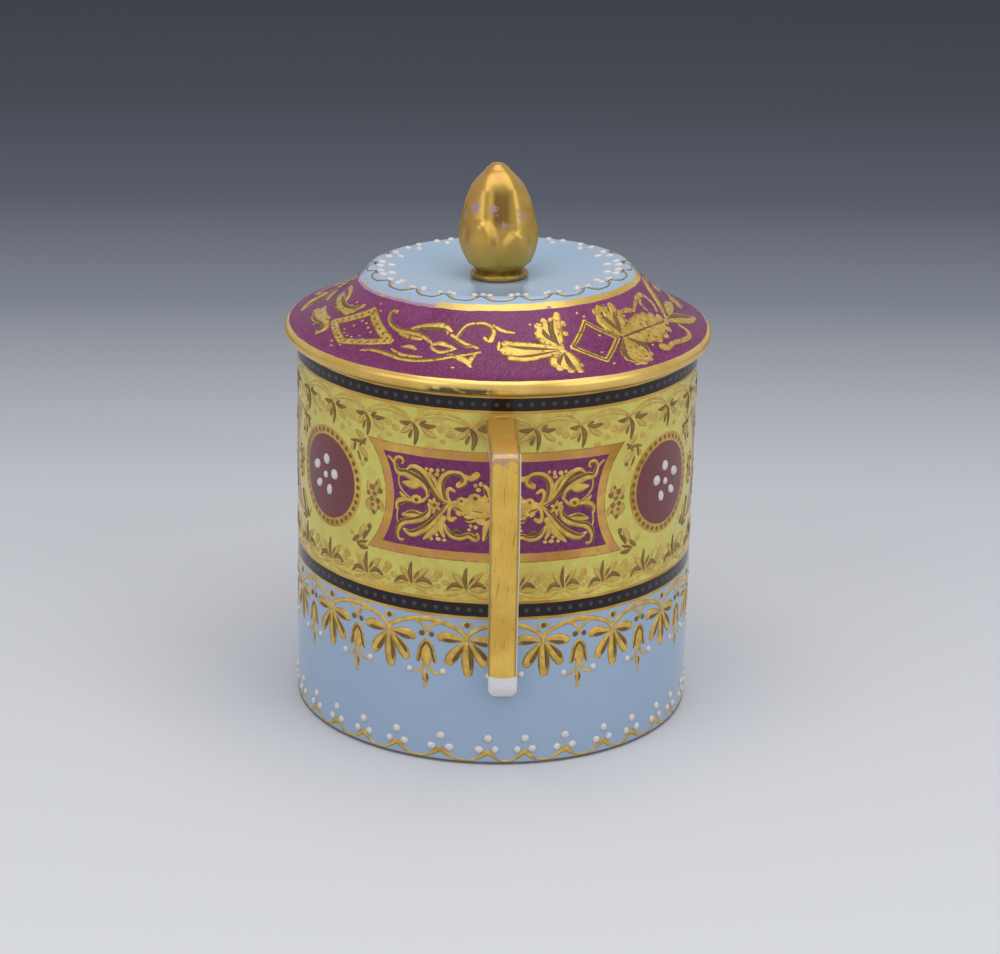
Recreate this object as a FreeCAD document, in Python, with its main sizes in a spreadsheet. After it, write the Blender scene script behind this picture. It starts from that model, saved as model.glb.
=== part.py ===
"""Covered chocolate cup in porcelain: a cylindrical cup with a strap handle, and a cover with a bud finial.

The frame has +Z up, its origin at the centre of the foot on the table, and the handle towards -Y. All sizes
are millimetres. Two pieces come off the kiln shelf, so two shapes are written: the cup and its lid.
"""
import FreeCAD, Part
import math
import os

import Sketcher

SIZES = {
    # Cup wall, foot and lip
    "cup_radius": 35.0,
    "cup_height": 66.6,
    "wall": 2.6,
    "floor_depth": 3.2,
    "foot_recess": 1.6,
    "foot_width": 3.4,
    "base_bevel": 0.5,
    "lip_bevel": 0.6,
    "floor_round": 6.0,
    "floor_facets": 2,
    # Strap handle
    "strap_width": 4.9,
    "strap_lean": 1.3,
    "lean_height": 33.0,
    "strap_thickness": 3.1,
    "limb_thickness": 3.3,
    "limb_drop": 4.3,
    "strap_reach": 18.6,
    "corner_round": 1.5,
    "crook_round": 1.2,
    "strap_bow": 150.0,
    "knee_bend": 24.0,
    "crotch_share": 0.635,
    "tongue_reach": 3.2,
    "tongue_bow": 3.7,
    "tongue_height": 16.4,
    "tongue_corner": 2.0,
    "tongue_taper": 3.5,
    "tongue_bend": 3.0,
    "root_depth": 1.4,
    "strap_edge": 0.65,
    # Cover
    "rim_overhang": 2.2,
    "bead_round": 1.33,
    "bead_facets": 5,
    "shoulder_hollow": 1.05,
    "shoulder_facets": 4,
    "crest_radius": 22.0,
    "cover_rise": 12.7,
    "crest_round": 1.6,
    "crest_start": 42.0,
    "crest_end": 105.0,
    "crest_facets": 2,
    "dish_depth": 2.4,
    "cover_wall": 2.8,
    "hollow_wall": 2.3,
    "mouth_clearance": 0.4,
    "flange_depth": 4.2,
    "flange_wall": 2.3,
    "flange_rise": 3.4,
    "flange_bevel": 0.7,
    # Bud finial
    "bud_foot_radius": 5.1,
    "bud_ring_round": 0.6,
    "ring_facets": 4,
    "bud_neck_radius": 4.3,
    "bud_height": 20.1,
    "heart_level": 14.0,
    "heart_radius": 4.0,
    "heart_top": 19.5,
    "heart_tip": 0.7,
    "root_sink": 1.4,
    "tall_petals": 4,
    "tall_length": 8.0,
    "tall_breadth": 4.0,
    "tall_centre": 1.95,
    "tall_lean": 14.0,
    "short_petals": 4,
    "outer_length": 5.4,
    "outer_breadth": 4.0,
    "outer_centre": 2.75,
    "outer_level": 5.8,
    "outer_lean": 12.0,
    "inner_length": 6.8,
    "inner_breadth": 3.7,
    "inner_centre": 2.8,
    "inner_level": 7.0,
    "inner_lean": 7.0,
    "petal_facets": 6,
    "petal_point": 0.3,
    "petal_turn": 10.0,
}

# Places worked out in the sheet. The strap's outer face is three arcs that run into each other, whose centres
# have the names corner, bow and knee.
WORKED_OUT = {
    "limb_top": "cup_height - limb_drop",
    "corner_out": "cup_radius + strap_reach - corner_round",
    "corner_up": "limb_top - corner_round",
    "knee_out": "cup_radius + tongue_reach + knee_bend",
    "centres_apart": "sqrt((knee_out - corner_out) ^ 2 + (corner_up - tongue_height) ^ 2)",
    "bow_to_corner": "strap_bow - corner_round",
    "bow_to_knee": "strap_bow + knee_bend",
    "bow_along": "(bow_to_corner ^ 2 - bow_to_knee ^ 2 + centres_apart ^ 2) / (2 * centres_apart)",
    "bow_aside": "sqrt(bow_to_corner ^ 2 - bow_along ^ 2)",
    "along_out": "(knee_out - corner_out) / centres_apart",
    "along_up": "(tongue_height - corner_up) / centres_apart",
    "bow_out": "corner_out + bow_along * along_out + bow_aside * along_up",
    "bow_up": "corner_up + bow_along * along_up - bow_aside * along_out",
    "crook_up": "limb_top - limb_thickness - crook_round",
    "crook_reach": "strap_bow - strap_thickness - crook_round",
    "crook_out": "bow_out + sqrt(crook_reach ^ 2 - (crook_up - bow_up) ^ 2)",
    "inner_bow": "strap_bow - strap_thickness",
    "inner_knee": "knee_bend + strap_thickness",
    "inner_join": "bow_up + (tongue_height - bow_up) * inner_bow / bow_to_knee",
    "crotch_height": "tongue_height + (inner_join - tongue_height) * crotch_share",
    "flange_radius": "cup_radius - wall - mouth_clearance",
    "rim_centre": "cup_radius + rim_overhang - bead_round",
    "bead_top": "cup_height + 2 * bead_round",
    "crest_height": "cup_height + cover_rise",
    "crest_foot_out": "crest_radius + crest_round * cos(crest_start * 1 deg)",
    "crest_foot_up": "crest_height - crest_round + crest_round * sin(crest_start * 1 deg)",
    "seat_height": "crest_height - dish_depth",
}

# Edges are told apart by their places to within this.
NEAR = 0.01

doc = FreeCAD.newDocument("chocolate_cup")
sheet = doc.addObject("Spreadsheet::Sheet", "sizes")
cells = {alias: str(size) for alias, size in SIZES.items()}
cells.update({alias: f"={formula}" for alias, formula in WORKED_OUT.items()})
for row, (alias, content) in enumerate(cells.items(), start=1):
    sheet.set(f"A{row}", alias)
    sheet.setAlias(f"B{row}", alias)
    sheet.set(f"B{row}", content)
doc.recompute()


def sized(text):
    """Turn the plain size names in an expression into references to the sheet."""
    words = []
    word = ""
    for letter in text + " ":
        if letter.isalnum() or letter == "_":
            word += letter
            continue
        words.append(f"sizes.{word}" if word in cells else word)
        words.append(letter)
        word = ""
    return "".join(words).strip()


def value(text):
    """The number an expression on the sheet gives now."""
    return float(sheet.evalExpression(sized(text).replace("sizes.", "")))


def new_body(label, turn=0.0):
    """An empty body, turned about the cup's axis by the given degrees."""
    body = doc.addObject("PartDesign::Body", label)
    body.Placement.Rotation = FreeCAD.Rotation(FreeCAD.Vector(0, 0, 1), turn)
    return body


def plane_of(body, role):
    """One of the body's own origin planes."""
    return next(item for item in body.Origin.OriginFeatures if item.Role == role)


def new_sketch(body, name, role):
    """A sketch on one of the body's origin planes."""
    sketch = body.newObject("Sketcher::SketchObject", name)
    sketch.AttachmentSupport = [(plane_of(body, role), "")]
    sketch.MapMode = "FlatFace"
    return sketch


def pin(sketch, geometry, end, across, up):
    """Tie a sketch point to the origin with two dimensions that follow the sheet."""
    for kind, text in (("DistanceX", across), ("DistanceY", up)):
        distance = value(text)
        order = (-1, 1, geometry, end) if distance >= 0 else (geometry, end, -1, 1)
        index = sketch.addConstraint(Sketcher.Constraint(kind, *order, abs(distance)))
        formula = sized(text) if distance >= 0 else f"-({sized(text)})"
        sketch.setExpression(f"Constraints[{index}]", formula)


def arc_through(start, finish, radius):
    """The arc between two points, turning left for a radius above nought and right for one below."""
    chord = finish - start
    half = chord.Length / 2
    left = FreeCAD.Vector(-chord.y, chord.x, 0).normalize()
    rise = math.sqrt(max(radius * radius - half * half, 0.0))
    centre = start + chord * 0.5 + left * math.copysign(rise, radius)
    first, last = (start, finish) if radius > 0 else (finish, start)
    angles = [math.atan2(point.y - centre.y, point.x - centre.x) for point in (first, last)]
    circle = Part.Circle(centre, FreeCAD.Vector(0, 0, 1), abs(radius))
    return Part.ArcOfCircle(circle, angles[0], angles[1])


def outline(sketch, steps):
    """Draw a closed outline from corners, each with the radius of the arc that leaves it, or None."""
    corners = [FreeCAD.Vector(value(across), value(up), 0) for across, up, _ in steps]
    ends = []
    for number, (_, _, radius) in enumerate(steps):
        start = corners[number]
        finish = corners[(number + 1) % len(corners)]
        if radius is None:
            index = sketch.addGeometry(Part.LineSegment(start, finish), False)
            ends.append((index, 1, 2))
            continue
        bend = value(radius)
        index = sketch.addGeometry(arc_through(start, finish, bend), False)
        ends.append((index, 1, 2) if bend > 0 else (index, 2, 1))
        radius_index = sketch.addConstraint(Sketcher.Constraint("Radius", index, abs(bend)))
        formula = sized(radius) if bend > 0 else f"-({sized(radius)})"
        sketch.setExpression(f"Constraints[{radius_index}]", formula)
    for number, (across, up, _) in enumerate(steps):
        index, first, _ = ends[number]
        before, _, last = ends[number - 1]
        sketch.addConstraint(Sketcher.Constraint("Coincident", before, last, index, first))
        pin(sketch, index, first, across, up)


def facets(across, up, radius, first, last, count):
    """Corners along an arc about a centre, from the first angle to the last, both in degrees."""
    angles = [first + (last - first) * step / count for step in range(count + 1)]
    return [
        (f"{across} + {radius} * cos({angle} deg)", f"{up} + {radius} * sin({angle} deg)", None)
        for angle in angles
    ]


def revolve(body, sketch, name):
    """Turn a half section about the sketch's upright axis."""
    turned = body.newObject("PartDesign::Revolution", name)
    turned.Profile = sketch
    turned.ReferenceAxis = (sketch, ["V_Axis"])
    turned.Angle = 360.0
    doc.recompute()
    return turned


def ring_edges(feature, *places):
    """Names of the circular edges at the given radii and heights."""
    found = []
    for radius, height in places:
        for number, edge in enumerate(feature.Shape.Edges, start=1):
            if edge.Degenerated or not isinstance(edge.Curve, Part.Circle):
                continue
            if abs(edge.Curve.Radius - radius) < NEAR and abs(edge.Curve.Center.z - height) < NEAR:
                found.append(f"Edge{number}")
    return found


def soften(body, feature, name, edges, size, kind="Chamfer"):
    """Bevel or round edges of a body's last feature by a size of the sheet."""
    dressed = body.newObject(f"PartDesign::{kind}", name)
    dressed.Base = (feature, edges)
    dressed.setExpression("Size" if kind == "Chamfer" else "Radius", sized(size))
    doc.recompute()
    return dressed


def make_cup_wall():
    """The thrown cylinder with its turned foot ring, flat floor and bevelled lip."""
    body = new_body("cup_wall")
    section = new_sketch(body, "cup_section", "XZ_Plane")
    corner_across = "cup_radius - wall - floor_round"
    corner_up = "foot_recess + floor_depth + floor_round"
    outline(
        section,
        [
            ("0", "foot_recess", None),
            ("cup_radius - foot_width", "foot_recess", None),
            ("cup_radius - foot_width", "0", None),
            ("cup_radius", "0", None),
            ("cup_radius", "cup_height", None),
            ("cup_radius - wall", "cup_height", None),
            *facets(corner_across, corner_up, "floor_round", 0, -90, SIZES["floor_facets"]),
            ("0", "foot_recess + floor_depth", None),
        ],
    )
    shape = revolve(body, section, "cup_turned")
    outside = value("cup_radius")
    mouth = value("cup_radius - wall")
    top = value("cup_height")
    rings = (
        ("base_edge", [(outside, 0.0)], "base_bevel"),
        ("lip_edges", [(outside, top), (mouth, top)], "lip_bevel"),
    )
    for name, places, size in rings:
        shape = soften(body, shape, name, ring_edges(shape, *places), size)
    return body


def make_handle():
    """The strap handle: a level upper limb, a crisp corner and a strap that sweeps back to a tongue."""
    body = new_body("handle_strap", turn=180.0)
    side = new_sketch(body, "handle_side", "YZ_Plane")
    root = "cup_radius - root_depth"
    underside = "limb_top - limb_thickness"
    tongue_foot = "tongue_height - sqrt(tongue_bow ^ 2 - (tongue_bow - tongue_reach) ^ 2)"
    crotch_out = "knee_out - sqrt(inner_knee ^ 2 - (crotch_height - tongue_height) ^ 2)"
    outline(
        side,
        [
            (root, "limb_top", None),
            (root, underside, None),
            ("crook_out", underside, "-crook_round"),
            (
                "bow_out + (crook_out - bow_out) * inner_bow / crook_reach",
                "bow_up + (crook_up - bow_up) * inner_bow / crook_reach",
                "-inner_bow",
            ),
            (
                "bow_out + (knee_out - bow_out) * inner_bow / bow_to_knee",
                "inner_join",
                "inner_knee",
            ),
            (crotch_out, "crotch_height", None),
            (root, "crotch_height", None),
            (root, tongue_foot, None),
            ("cup_radius", tongue_foot, "tongue_bow"),
            ("cup_radius + tongue_reach", "tongue_height", "-knee_bend"),
            (
                "bow_out + (knee_out - bow_out) * strap_bow / bow_to_knee",
                "bow_up + (tongue_height - bow_up) * strap_bow / bow_to_knee",
                "strap_bow",
            ),
            (
                "bow_out + (corner_out - bow_out) * strap_bow / bow_to_corner",
                "bow_up + (corner_up - bow_up) * strap_bow / bow_to_corner",
                "corner_round",
            ),
            ("corner_out", "limb_top", None),
        ],
    )
    strap = body.newObject("PartDesign::Pad", "handle_blank")
    strap.Profile = side
    strap.SideType = "Symmetric"
    strap.setExpression("Length", sized("strap_width"))
    doc.recompute()
    front = new_sketch(body, "handle_front", "XZ_Plane")
    half = "strap_width / 2"
    outline(
        front,
        [
            (f"-{half}", tongue_foot, None),
            (f"-({half} - tongue_corner)", tongue_foot, "-tongue_bend"),
            (f"-{half}", f"{tongue_foot} + tongue_taper", None),
        ],
    )
    outline(
        front,
        [
            (half, tongue_foot, None),
            (half, f"{tongue_foot} + tongue_taper", "-tongue_bend"),
            (f"{half} - tongue_corner", tongue_foot, None),
        ],
    )
    trimmed = body.newObject("PartDesign::Pocket", "handle_trim")
    trimmed.Profile = front
    trimmed.SideType = "Symmetric"
    trimmed.setExpression("Length", sized("4 * (cup_radius + strap_reach)"))
    doc.recompute()
    inside_wall = value("cup_radius")
    seam_height = value("tongue_height")
    flat_half = value("strap_width / 2 - tongue_corner")
    long_edges = []
    for number, edge in enumerate(trimmed.Shape.Edges, start=1):
        box = edge.BoundBox
        crosses = box.XMin < -flat_half - NEAR and box.XMax > flat_half + NEAR
        buried = box.YMin < inside_wall - NEAR and box.YMax < inside_wall + NEAR
        seam = box.ZLength < NEAR and box.ZMax < seam_height and box.XLength < NEAR
        if not crosses and not buried and not seam:
            long_edges.append(f"Edge{number}")
    soften(body, trimmed, "strap_edges", long_edges, "strap_edge", "Fillet")
    pivot = FreeCAD.Vector(0, 0, value("lean_height"))
    lean = FreeCAD.Rotation(FreeCAD.Vector(0, 1, 0), -value("strap_lean"))
    body.Placement = FreeCAD.Placement(FreeCAD.Vector(), lean, pivot) * body.Placement
    return body


def shoulder(step):
    """A corner of the shoulder's hollow curve, from the rim bead at step 0 up to the crest."""
    share = step / SIZES["shoulder_facets"]
    across = f"rim_centre + (crest_foot_out - rim_centre) * {share}"
    rise = f"(crest_foot_up - bead_top) * {share} - shoulder_hollow * {4 * share * (1 - share)}"
    return across, f"bead_top + {rise}"


def make_cover():
    """The cover: a dished top, a hollow-curved shoulder, a half-round rim bead and a flange for the mouth."""
    body = new_body("cover")
    section = new_sketch(body, "cover_section", "XZ_Plane")
    steps = range(1, SIZES["shoulder_facets"])
    outer_side = [(*shoulder(step), None) for step in steps]
    outline(
        section,
        [
            ("0", "seat_height - hollow_wall", None),
            ("crest_radius - cover_wall", "seat_height - hollow_wall", None),
            ("flange_radius - flange_wall", "cup_height + flange_rise", None),
            ("flange_radius - flange_wall", "cup_height - flange_depth", None),
            ("flange_radius", "cup_height - flange_depth", None),
            ("flange_radius", "cup_height", None),
            *facets("rim_centre", "cup_height + bead_round", "bead_round", -90, 90, SIZES["bead_facets"]),
            *outer_side,
            *facets(
                "crest_radius",
                "crest_height - crest_round",
                "crest_round",
                SIZES["crest_start"],
                SIZES["crest_end"],
                SIZES["crest_facets"],
            ),
            ("bud_foot_radius", "seat_height", None),
            ("0", "seat_height", None),
        ],
    )
    shape = revolve(body, section, "cover_turned")
    flange_foot = (value("flange_radius"), value("cup_height - flange_depth"))
    soften(body, shape, "flange_edge", ring_edges(shape, flange_foot), "flange_bevel")
    return body


def make_bud_core():
    """The finial's ring foot, its neck and the egg-shaped heart that the petals close round."""
    body = new_body("bud_core")
    section = new_sketch(body, "bud_section", "XZ_Plane")
    outline(
        section,
        [
            ("0", "seat_height - root_sink", None),
            ("bud_foot_radius - bud_ring_round", "seat_height - root_sink", None),
            *facets(
                "bud_foot_radius - bud_ring_round",
                "seat_height + bud_ring_round",
                "bud_ring_round",
                -90,
                90,
                SIZES["ring_facets"],
            ),
            ("bud_neck_radius", "seat_height + 2 * bud_ring_round", None),
            ("outer_centre + outer_breadth / 2", "seat_height + outer_level", None),
            ("heart_radius", "seat_height + heart_level", None),
            ("heart_tip", "seat_height + heart_top", None),
            ("0", "seat_height + heart_top", None),
        ],
    )
    revolve(body, section, "bud_turned")
    return body


def make_petal(label, azimuth, length, breadth, out, level, lean):
    """One petal: a pointed egg that leans out at its tip, or in for a lean below nought."""
    section = doc.addObject("Sketcher::SketchObject", f"{label}_section")
    step = 180.0 / SIZES["petal_facets"]
    angles = [-90.0 + step * k for k in range(SIZES["petal_facets"] + 1)]
    slimming = "(1 - petal_point * sin({angle} deg))"
    side = [
        (
            f"{breadth} * cos({angle} deg) * {slimming.format(angle=angle)}",
            f"{length} * sin({angle} deg)",
            None,
        )
        for angle in angles[1:-1]
    ]
    outline(section, [("0", f"-{length}", None), *side, ("0", length, None)])
    section.Placement.Rotation = FreeCAD.Rotation(FreeCAD.Vector(1, 0, 0), 90)
    egg = doc.addObject("Part::Revolution", f"{label}_egg")
    egg.Source = section
    egg.Axis = FreeCAD.Vector(0, 0, 1)
    egg.Angle = 360.0
    egg.Solid = True
    turn = FreeCAD.Rotation(FreeCAD.Vector(0, 0, 1), azimuth)
    tilt = FreeCAD.Rotation(FreeCAD.Vector(0, 1, 0), value(lean))
    egg.Placement.Rotation = turn * tilt
    egg.setExpression(".Placement.Base.x", f"({sized(out)}) * cos({azimuth} deg)")
    egg.setExpression(".Placement.Base.y", f"({sized(out)}) * sin({azimuth} deg)")
    egg.setExpression(".Placement.Base.z", sized(level))
    return egg


def make_petals():
    """Two staggered rows of short petals under the tall ones that close at the tip."""
    tall_level = "seat_height + bud_height - tall_length * cos(tall_lean * 1 deg)"
    tall = ("tall_length", "tall_breadth", "tall_centre", tall_level, "-tall_lean")
    outer = ("outer_length", "outer_breadth", "outer_centre", "seat_height + outer_level", "outer_lean")
    inner = ("inner_length", "inner_breadth", "inner_centre", "seat_height + inner_level", "inner_lean")
    tall_step = 360.0 / SIZES["tall_petals"]
    short_step = 360.0 / SIZES["short_petals"]
    front = -90.0 + SIZES["petal_turn"]
    petals = []
    for k in range(SIZES["tall_petals"]):
        petals.append(make_petal(f"tall_{k + 1}", -90.0 + tall_step * (k + 0.5), *tall))
    for k in range(SIZES["short_petals"]):
        petals.append(make_petal(f"outer_{k + 1}", front + short_step * k, *outer))
        petals.append(make_petal(f"inner_{k + 1}", front + short_step * (k + 0.5), *inner))
    return petals


def check(pieces):
    """Stop if any object of the document failed or a finished piece isn't one good solid."""
    for item in doc.Objects:
        if {"Invalid", "Error"} & set(item.State):
            raise RuntimeError(f"{item.Name} failed: {item.State}")
    for piece in pieces:
        shape = piece.Shape
        if shape.isNull() or not shape.isValid() or len(shape.Solids) != 1:
            raise RuntimeError(f"{piece.Label} isn't one valid solid")


cup_wall = make_cup_wall()
handle = make_handle()
cup = doc.addObject("Part::Fuse", "cup")
cup.Base = cup_wall
cup.Tool = handle

cover = make_cover()
bud_core = make_bud_core()
lid = doc.addObject("Part::MultiFuse", "lid")
lid.Shapes = [cover, bud_core, *make_petals()]
doc.recompute()

check([cup, lid])
os.makedirs("parts", exist_ok=True)
for piece in (cup, lid):
    piece.Shape.exportStep(f"parts/{piece.Label}.step")
    print(piece.Label, "volume", round(piece.Shape.Volume, 1), "box", piece.Shape.BoundBox)
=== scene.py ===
"""Looks of the covered chocolate cup: painted grounds, gilding, enamel dots and the bud on the cover."""

import logging
import math
from dataclasses import dataclass, replace
from enum import Enum
from typing import Iterable, Sequence

import bpy
import numpy as np
from mathutils import Matrix, Vector


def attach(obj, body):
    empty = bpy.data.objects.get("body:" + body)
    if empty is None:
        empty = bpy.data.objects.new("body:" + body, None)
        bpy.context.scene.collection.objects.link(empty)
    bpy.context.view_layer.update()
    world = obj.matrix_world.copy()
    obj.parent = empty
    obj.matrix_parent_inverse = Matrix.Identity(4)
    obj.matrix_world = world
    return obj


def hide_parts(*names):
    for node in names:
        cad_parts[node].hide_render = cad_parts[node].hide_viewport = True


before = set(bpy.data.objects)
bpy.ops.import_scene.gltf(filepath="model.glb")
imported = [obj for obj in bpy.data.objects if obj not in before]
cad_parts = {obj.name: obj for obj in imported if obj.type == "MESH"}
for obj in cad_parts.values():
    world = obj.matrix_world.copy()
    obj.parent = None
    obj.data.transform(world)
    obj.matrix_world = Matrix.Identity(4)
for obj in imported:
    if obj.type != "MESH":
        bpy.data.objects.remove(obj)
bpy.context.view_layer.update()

LOG = logging.getLogger("chocolate_cup")
MM = 0.001
# The photograph is taken a little to the left of the handle, and the painting is laid out about this azimuth.
CAMERA_TURN = -2.5

Colour = tuple[float, float, float]
Point = tuple[float, float]
Node = tuple[float, float, float]


def paint(red: int, green: int, blue: int) -> Colour:
    """Turn a colour as a screen shows it into the linear one that shaders take.

    Args:
        red: Red, 0 to 255.
        green: Green, 0 to 255.
        blue: Blue, 0 to 255.

    Returns:
        The linear colour.
    """
    def linear(level: int) -> float:
        share = level / 255
        return share / 12.92 if share <= 0.04045 else ((share + 0.055) / 1.055) ** 2.4
    return linear(red), linear(green), linear(blue)


# ---------------------------------------------------------------- shader maths


class Value:
    """A number in a material that Python's operators work on."""

    def __init__(self, shader: "Shader", socket: bpy.types.NodeSocket) -> None:
        """Wrap a socket of a material."""
        self.shader = shader
        self.socket = socket

    def math(self, operation: str, *others: "Value | float", swapped: bool = False) -> "Value":
        """Add one Math node.

        Args:
            operation: The node's operation.
            others: The other operands.
            swapped: Put the first other operand before this one.

        Returns:
            The node's result.
        """
        operands = [self, *others]
        if swapped:
            operands[0], operands[1] = operands[1], operands[0]
        node = self.shader.node("ShaderNodeMath", {"operation": operation}, dict(enumerate(operands)))
        return Value(self.shader, node.outputs[0])

    def __add__(self, other: "Value | float") -> "Value":
        """This plus other."""
        return self.math("ADD", other)

    def __sub__(self, other: "Value | float") -> "Value":
        """This minus other."""
        return self.math("SUBTRACT", other)

    def __rsub__(self, other: float) -> "Value":
        """A number minus this."""
        return self.math("SUBTRACT", other, swapped=True)

    def __mul__(self, other: "Value | float") -> "Value":
        """This times other."""
        return self.math("MULTIPLY", other)

    def __truediv__(self, other: "Value | float") -> "Value":
        """This divided by other."""
        return self.math("DIVIDE", other)

    def __neg__(self) -> "Value":
        """This with its sign turned."""
        return self.math("MULTIPLY", -1.0)

    __radd__ = __add__
    __rmul__ = __mul__

    def size(self) -> "Value":
        """The value without its sign."""
        return self.math("ABSOLUTE")

    def root(self) -> "Value":
        """The square root."""
        return self.math("SQRT")

    def least(self, other: "Value | float") -> "Value":
        """The smaller of the two."""
        return self.math("MINIMUM", other)

    def most(self, other: "Value | float") -> "Value":
        """The larger of the two."""
        return self.math("MAXIMUM", other)

    def wrapped(self, pitch: float) -> "Value":
        """The distance from the middle of the nearest of the steps that repeat every pitch."""
        return self.math("WRAP", pitch / 2, -pitch / 2)

    def above(self, level: "Value | float", soft: float = 0.06) -> "Value":
        """A mask that is 1 where this is above a level, with a narrow soft edge."""
        clamp = self.shader.node("ShaderNodeClamp", {}, {0: (self - level) / soft + 0.5})
        return Value(self.shader, clamp.outputs[0])

    def below(self, level: "Value | float", soft: float = 0.06) -> "Value":
        """A mask that is 1 where this is below a level."""
        return 1.0 - self.above(level, soft)

    def between(self, low: float, high: float, soft: float = 0.06) -> "Value":
        """A mask that is 1 between two levels."""
        return self.above(low, soft) * self.below(high, soft)


@dataclass
class Shader:
    """A material under construction."""

    name: str

    def __post_init__(self) -> None:
        """Make the material with nothing but its output and its surface shader."""
        self.material = bpy.data.materials.new(self.name)
        self.material.use_nodes = True
        self.tree = self.material.node_tree
        self.tree.nodes.clear()
        self.surface = self.node("ShaderNodeBsdfPrincipled", {}, {})
        output = self.node("ShaderNodeOutputMaterial", {}, {})
        self.tree.links.new(self.surface.outputs[0], output.inputs[0])
        self.place = self.node("ShaderNodeTexCoord", {}, {}).outputs["Object"]

    def node(self, kind: str, settings: dict, inputs: dict) -> bpy.types.Node:
        """Add a node.

        Args:
            kind: The node's type.
            settings: Its own settings, which are set first, such as an operation or a ramp's stops.
            inputs: Values or links by the name or number of the socket.

        Returns:
            The node.
        """
        node = self.tree.nodes.new(kind)
        for setting, chosen in settings.items():
            if setting != "stops":
                setattr(node, setting, chosen)
                continue
            ramp = node.color_ramp.elements
            while len(ramp) < len(chosen):
                ramp.new(1.0)
            for stop, (share, colour) in zip(ramp, chosen):
                stop.position = share
                stop.color = (*colour, 1.0)
        for key, given in inputs.items():
            self.feed(node.inputs[key], given)
        return node

    def feed(self, socket: bpy.types.NodeSocket, given: object) -> None:
        """Link a socket to a value or set it, with a colour given as three numbers."""
        if isinstance(given, Value):
            given = given.socket
        if isinstance(given, bpy.types.NodeSocket):
            self.tree.links.new(given, socket)
        else:
            socket.default_value = (*given, 1.0) if socket.type == "RGBA" else given

    def position(self) -> tuple[Value, Value, Value]:
        """The place on the object in millimetres.

        Returns:
            Across, along and up.
        """
        parts = self.node("ShaderNodeSeparateXYZ", {}, {0: self.place}).outputs
        across, along, up = (Value(self, part) * (1 / MM) for part in parts)
        return across, along, up

    def facing(self) -> tuple[Value, Value, Value]:
        """How far the surface faces across, along and up, each from -1 to 1."""
        normal = self.node("ShaderNodeTexCoord", {}, {}).outputs["Normal"]
        across, along, up = (Value(self, part) for part in self.node("ShaderNodeSeparateXYZ", {}, {0: normal}).outputs)
        return across, along, up

    def noise(self, scale: float, detail: float = 3.0, rough: float = 0.5,
              place: bpy.types.NodeSocket | None = None) -> Value:
        """Cloudy noise about 0.5, with scale in blotches a metre, over the object or another place."""
        inputs = {"Vector": place or self.place, "Scale": scale, "Detail": detail, "Roughness": rough}
        return Value(self, self.node("ShaderNodeTexNoise", {}, inputs).outputs[0])

    def mix(self, share: Value, under: object, over: object) -> bpy.types.NodeSocket:
        """Lay one colour over another.

        Args:
            share: The mask of the colour on top.
            under: The lower colour, a link or a linear colour.
            over: The upper colour.

        Returns:
            The mixed colour.
        """
        return self.node("ShaderNodeMix", {"data_type": "RGBA"}, {0: share, 6: under, 7: over}).outputs[2]

    def bump(self, height: Value, depth: float, strength: float = 1.0) -> None:
        """Give the surface relief, with depth in millimetres for a height of 1."""
        inputs = {"Height": height, "Distance": depth * MM, "Strength": strength}
        normal = self.node("ShaderNodeBump", {}, inputs).outputs[0]
        self.tree.links.new(normal, self.surface.inputs["Normal"])

    def finish(self, **sockets: object) -> bpy.types.Material:
        """Set the surface's sockets, with _ for the spaces in their names, and return the material."""
        for key, given in sockets.items():
            self.feed(self.surface.inputs[key.replace("_", " ")], given)
        return self.material


# ---------------------------------------------------------------- sizes taken from the frame


@dataclass(frozen=True)
class Layout:
    """Where the painting lies, in millimetres and in degrees from the front."""

    radius: float = 35.0
    medallions: tuple[float, ...] = (-54.4, 55.0, 180.0)
    medallion_height: float = 46.7
    disc: float = 7.3
    ring: float = 8.9
    ring_dots: int = 36
    field_gap: float = 15.75
    frame_gap: float = 14.1
    field_half: float = 8.05
    frame_half: float = 9.7
    frame_outline: float = 0.22
    bead: float = 0.42
    band_dot: float = 0.37
    low_band: Point = (27.23, 29.58)
    high_band: Point = (63.54, 65.75)
    band_dots: int = 114
    line: float = 0.5

    def arc(self, degrees: float) -> float:
        """Millimetres round the wall from the front to an azimuth."""
        return math.radians(degrees) * self.radius

    @property
    def girth(self) -> float:
        """Millimetres once round the wall."""
        return 2 * math.pi * self.radius


LAYOUT = Layout()


@dataclass(frozen=True)
class Gold:
    """Burnished gilding, with the brown of its shading."""

    bright: Colour = paint(214, 172, 84)
    deep: Colour = paint(176, 128, 48)
    brown: Colour = paint(98, 66, 20)
    metal: float = 0.55
    rough: float = 0.3


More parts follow.
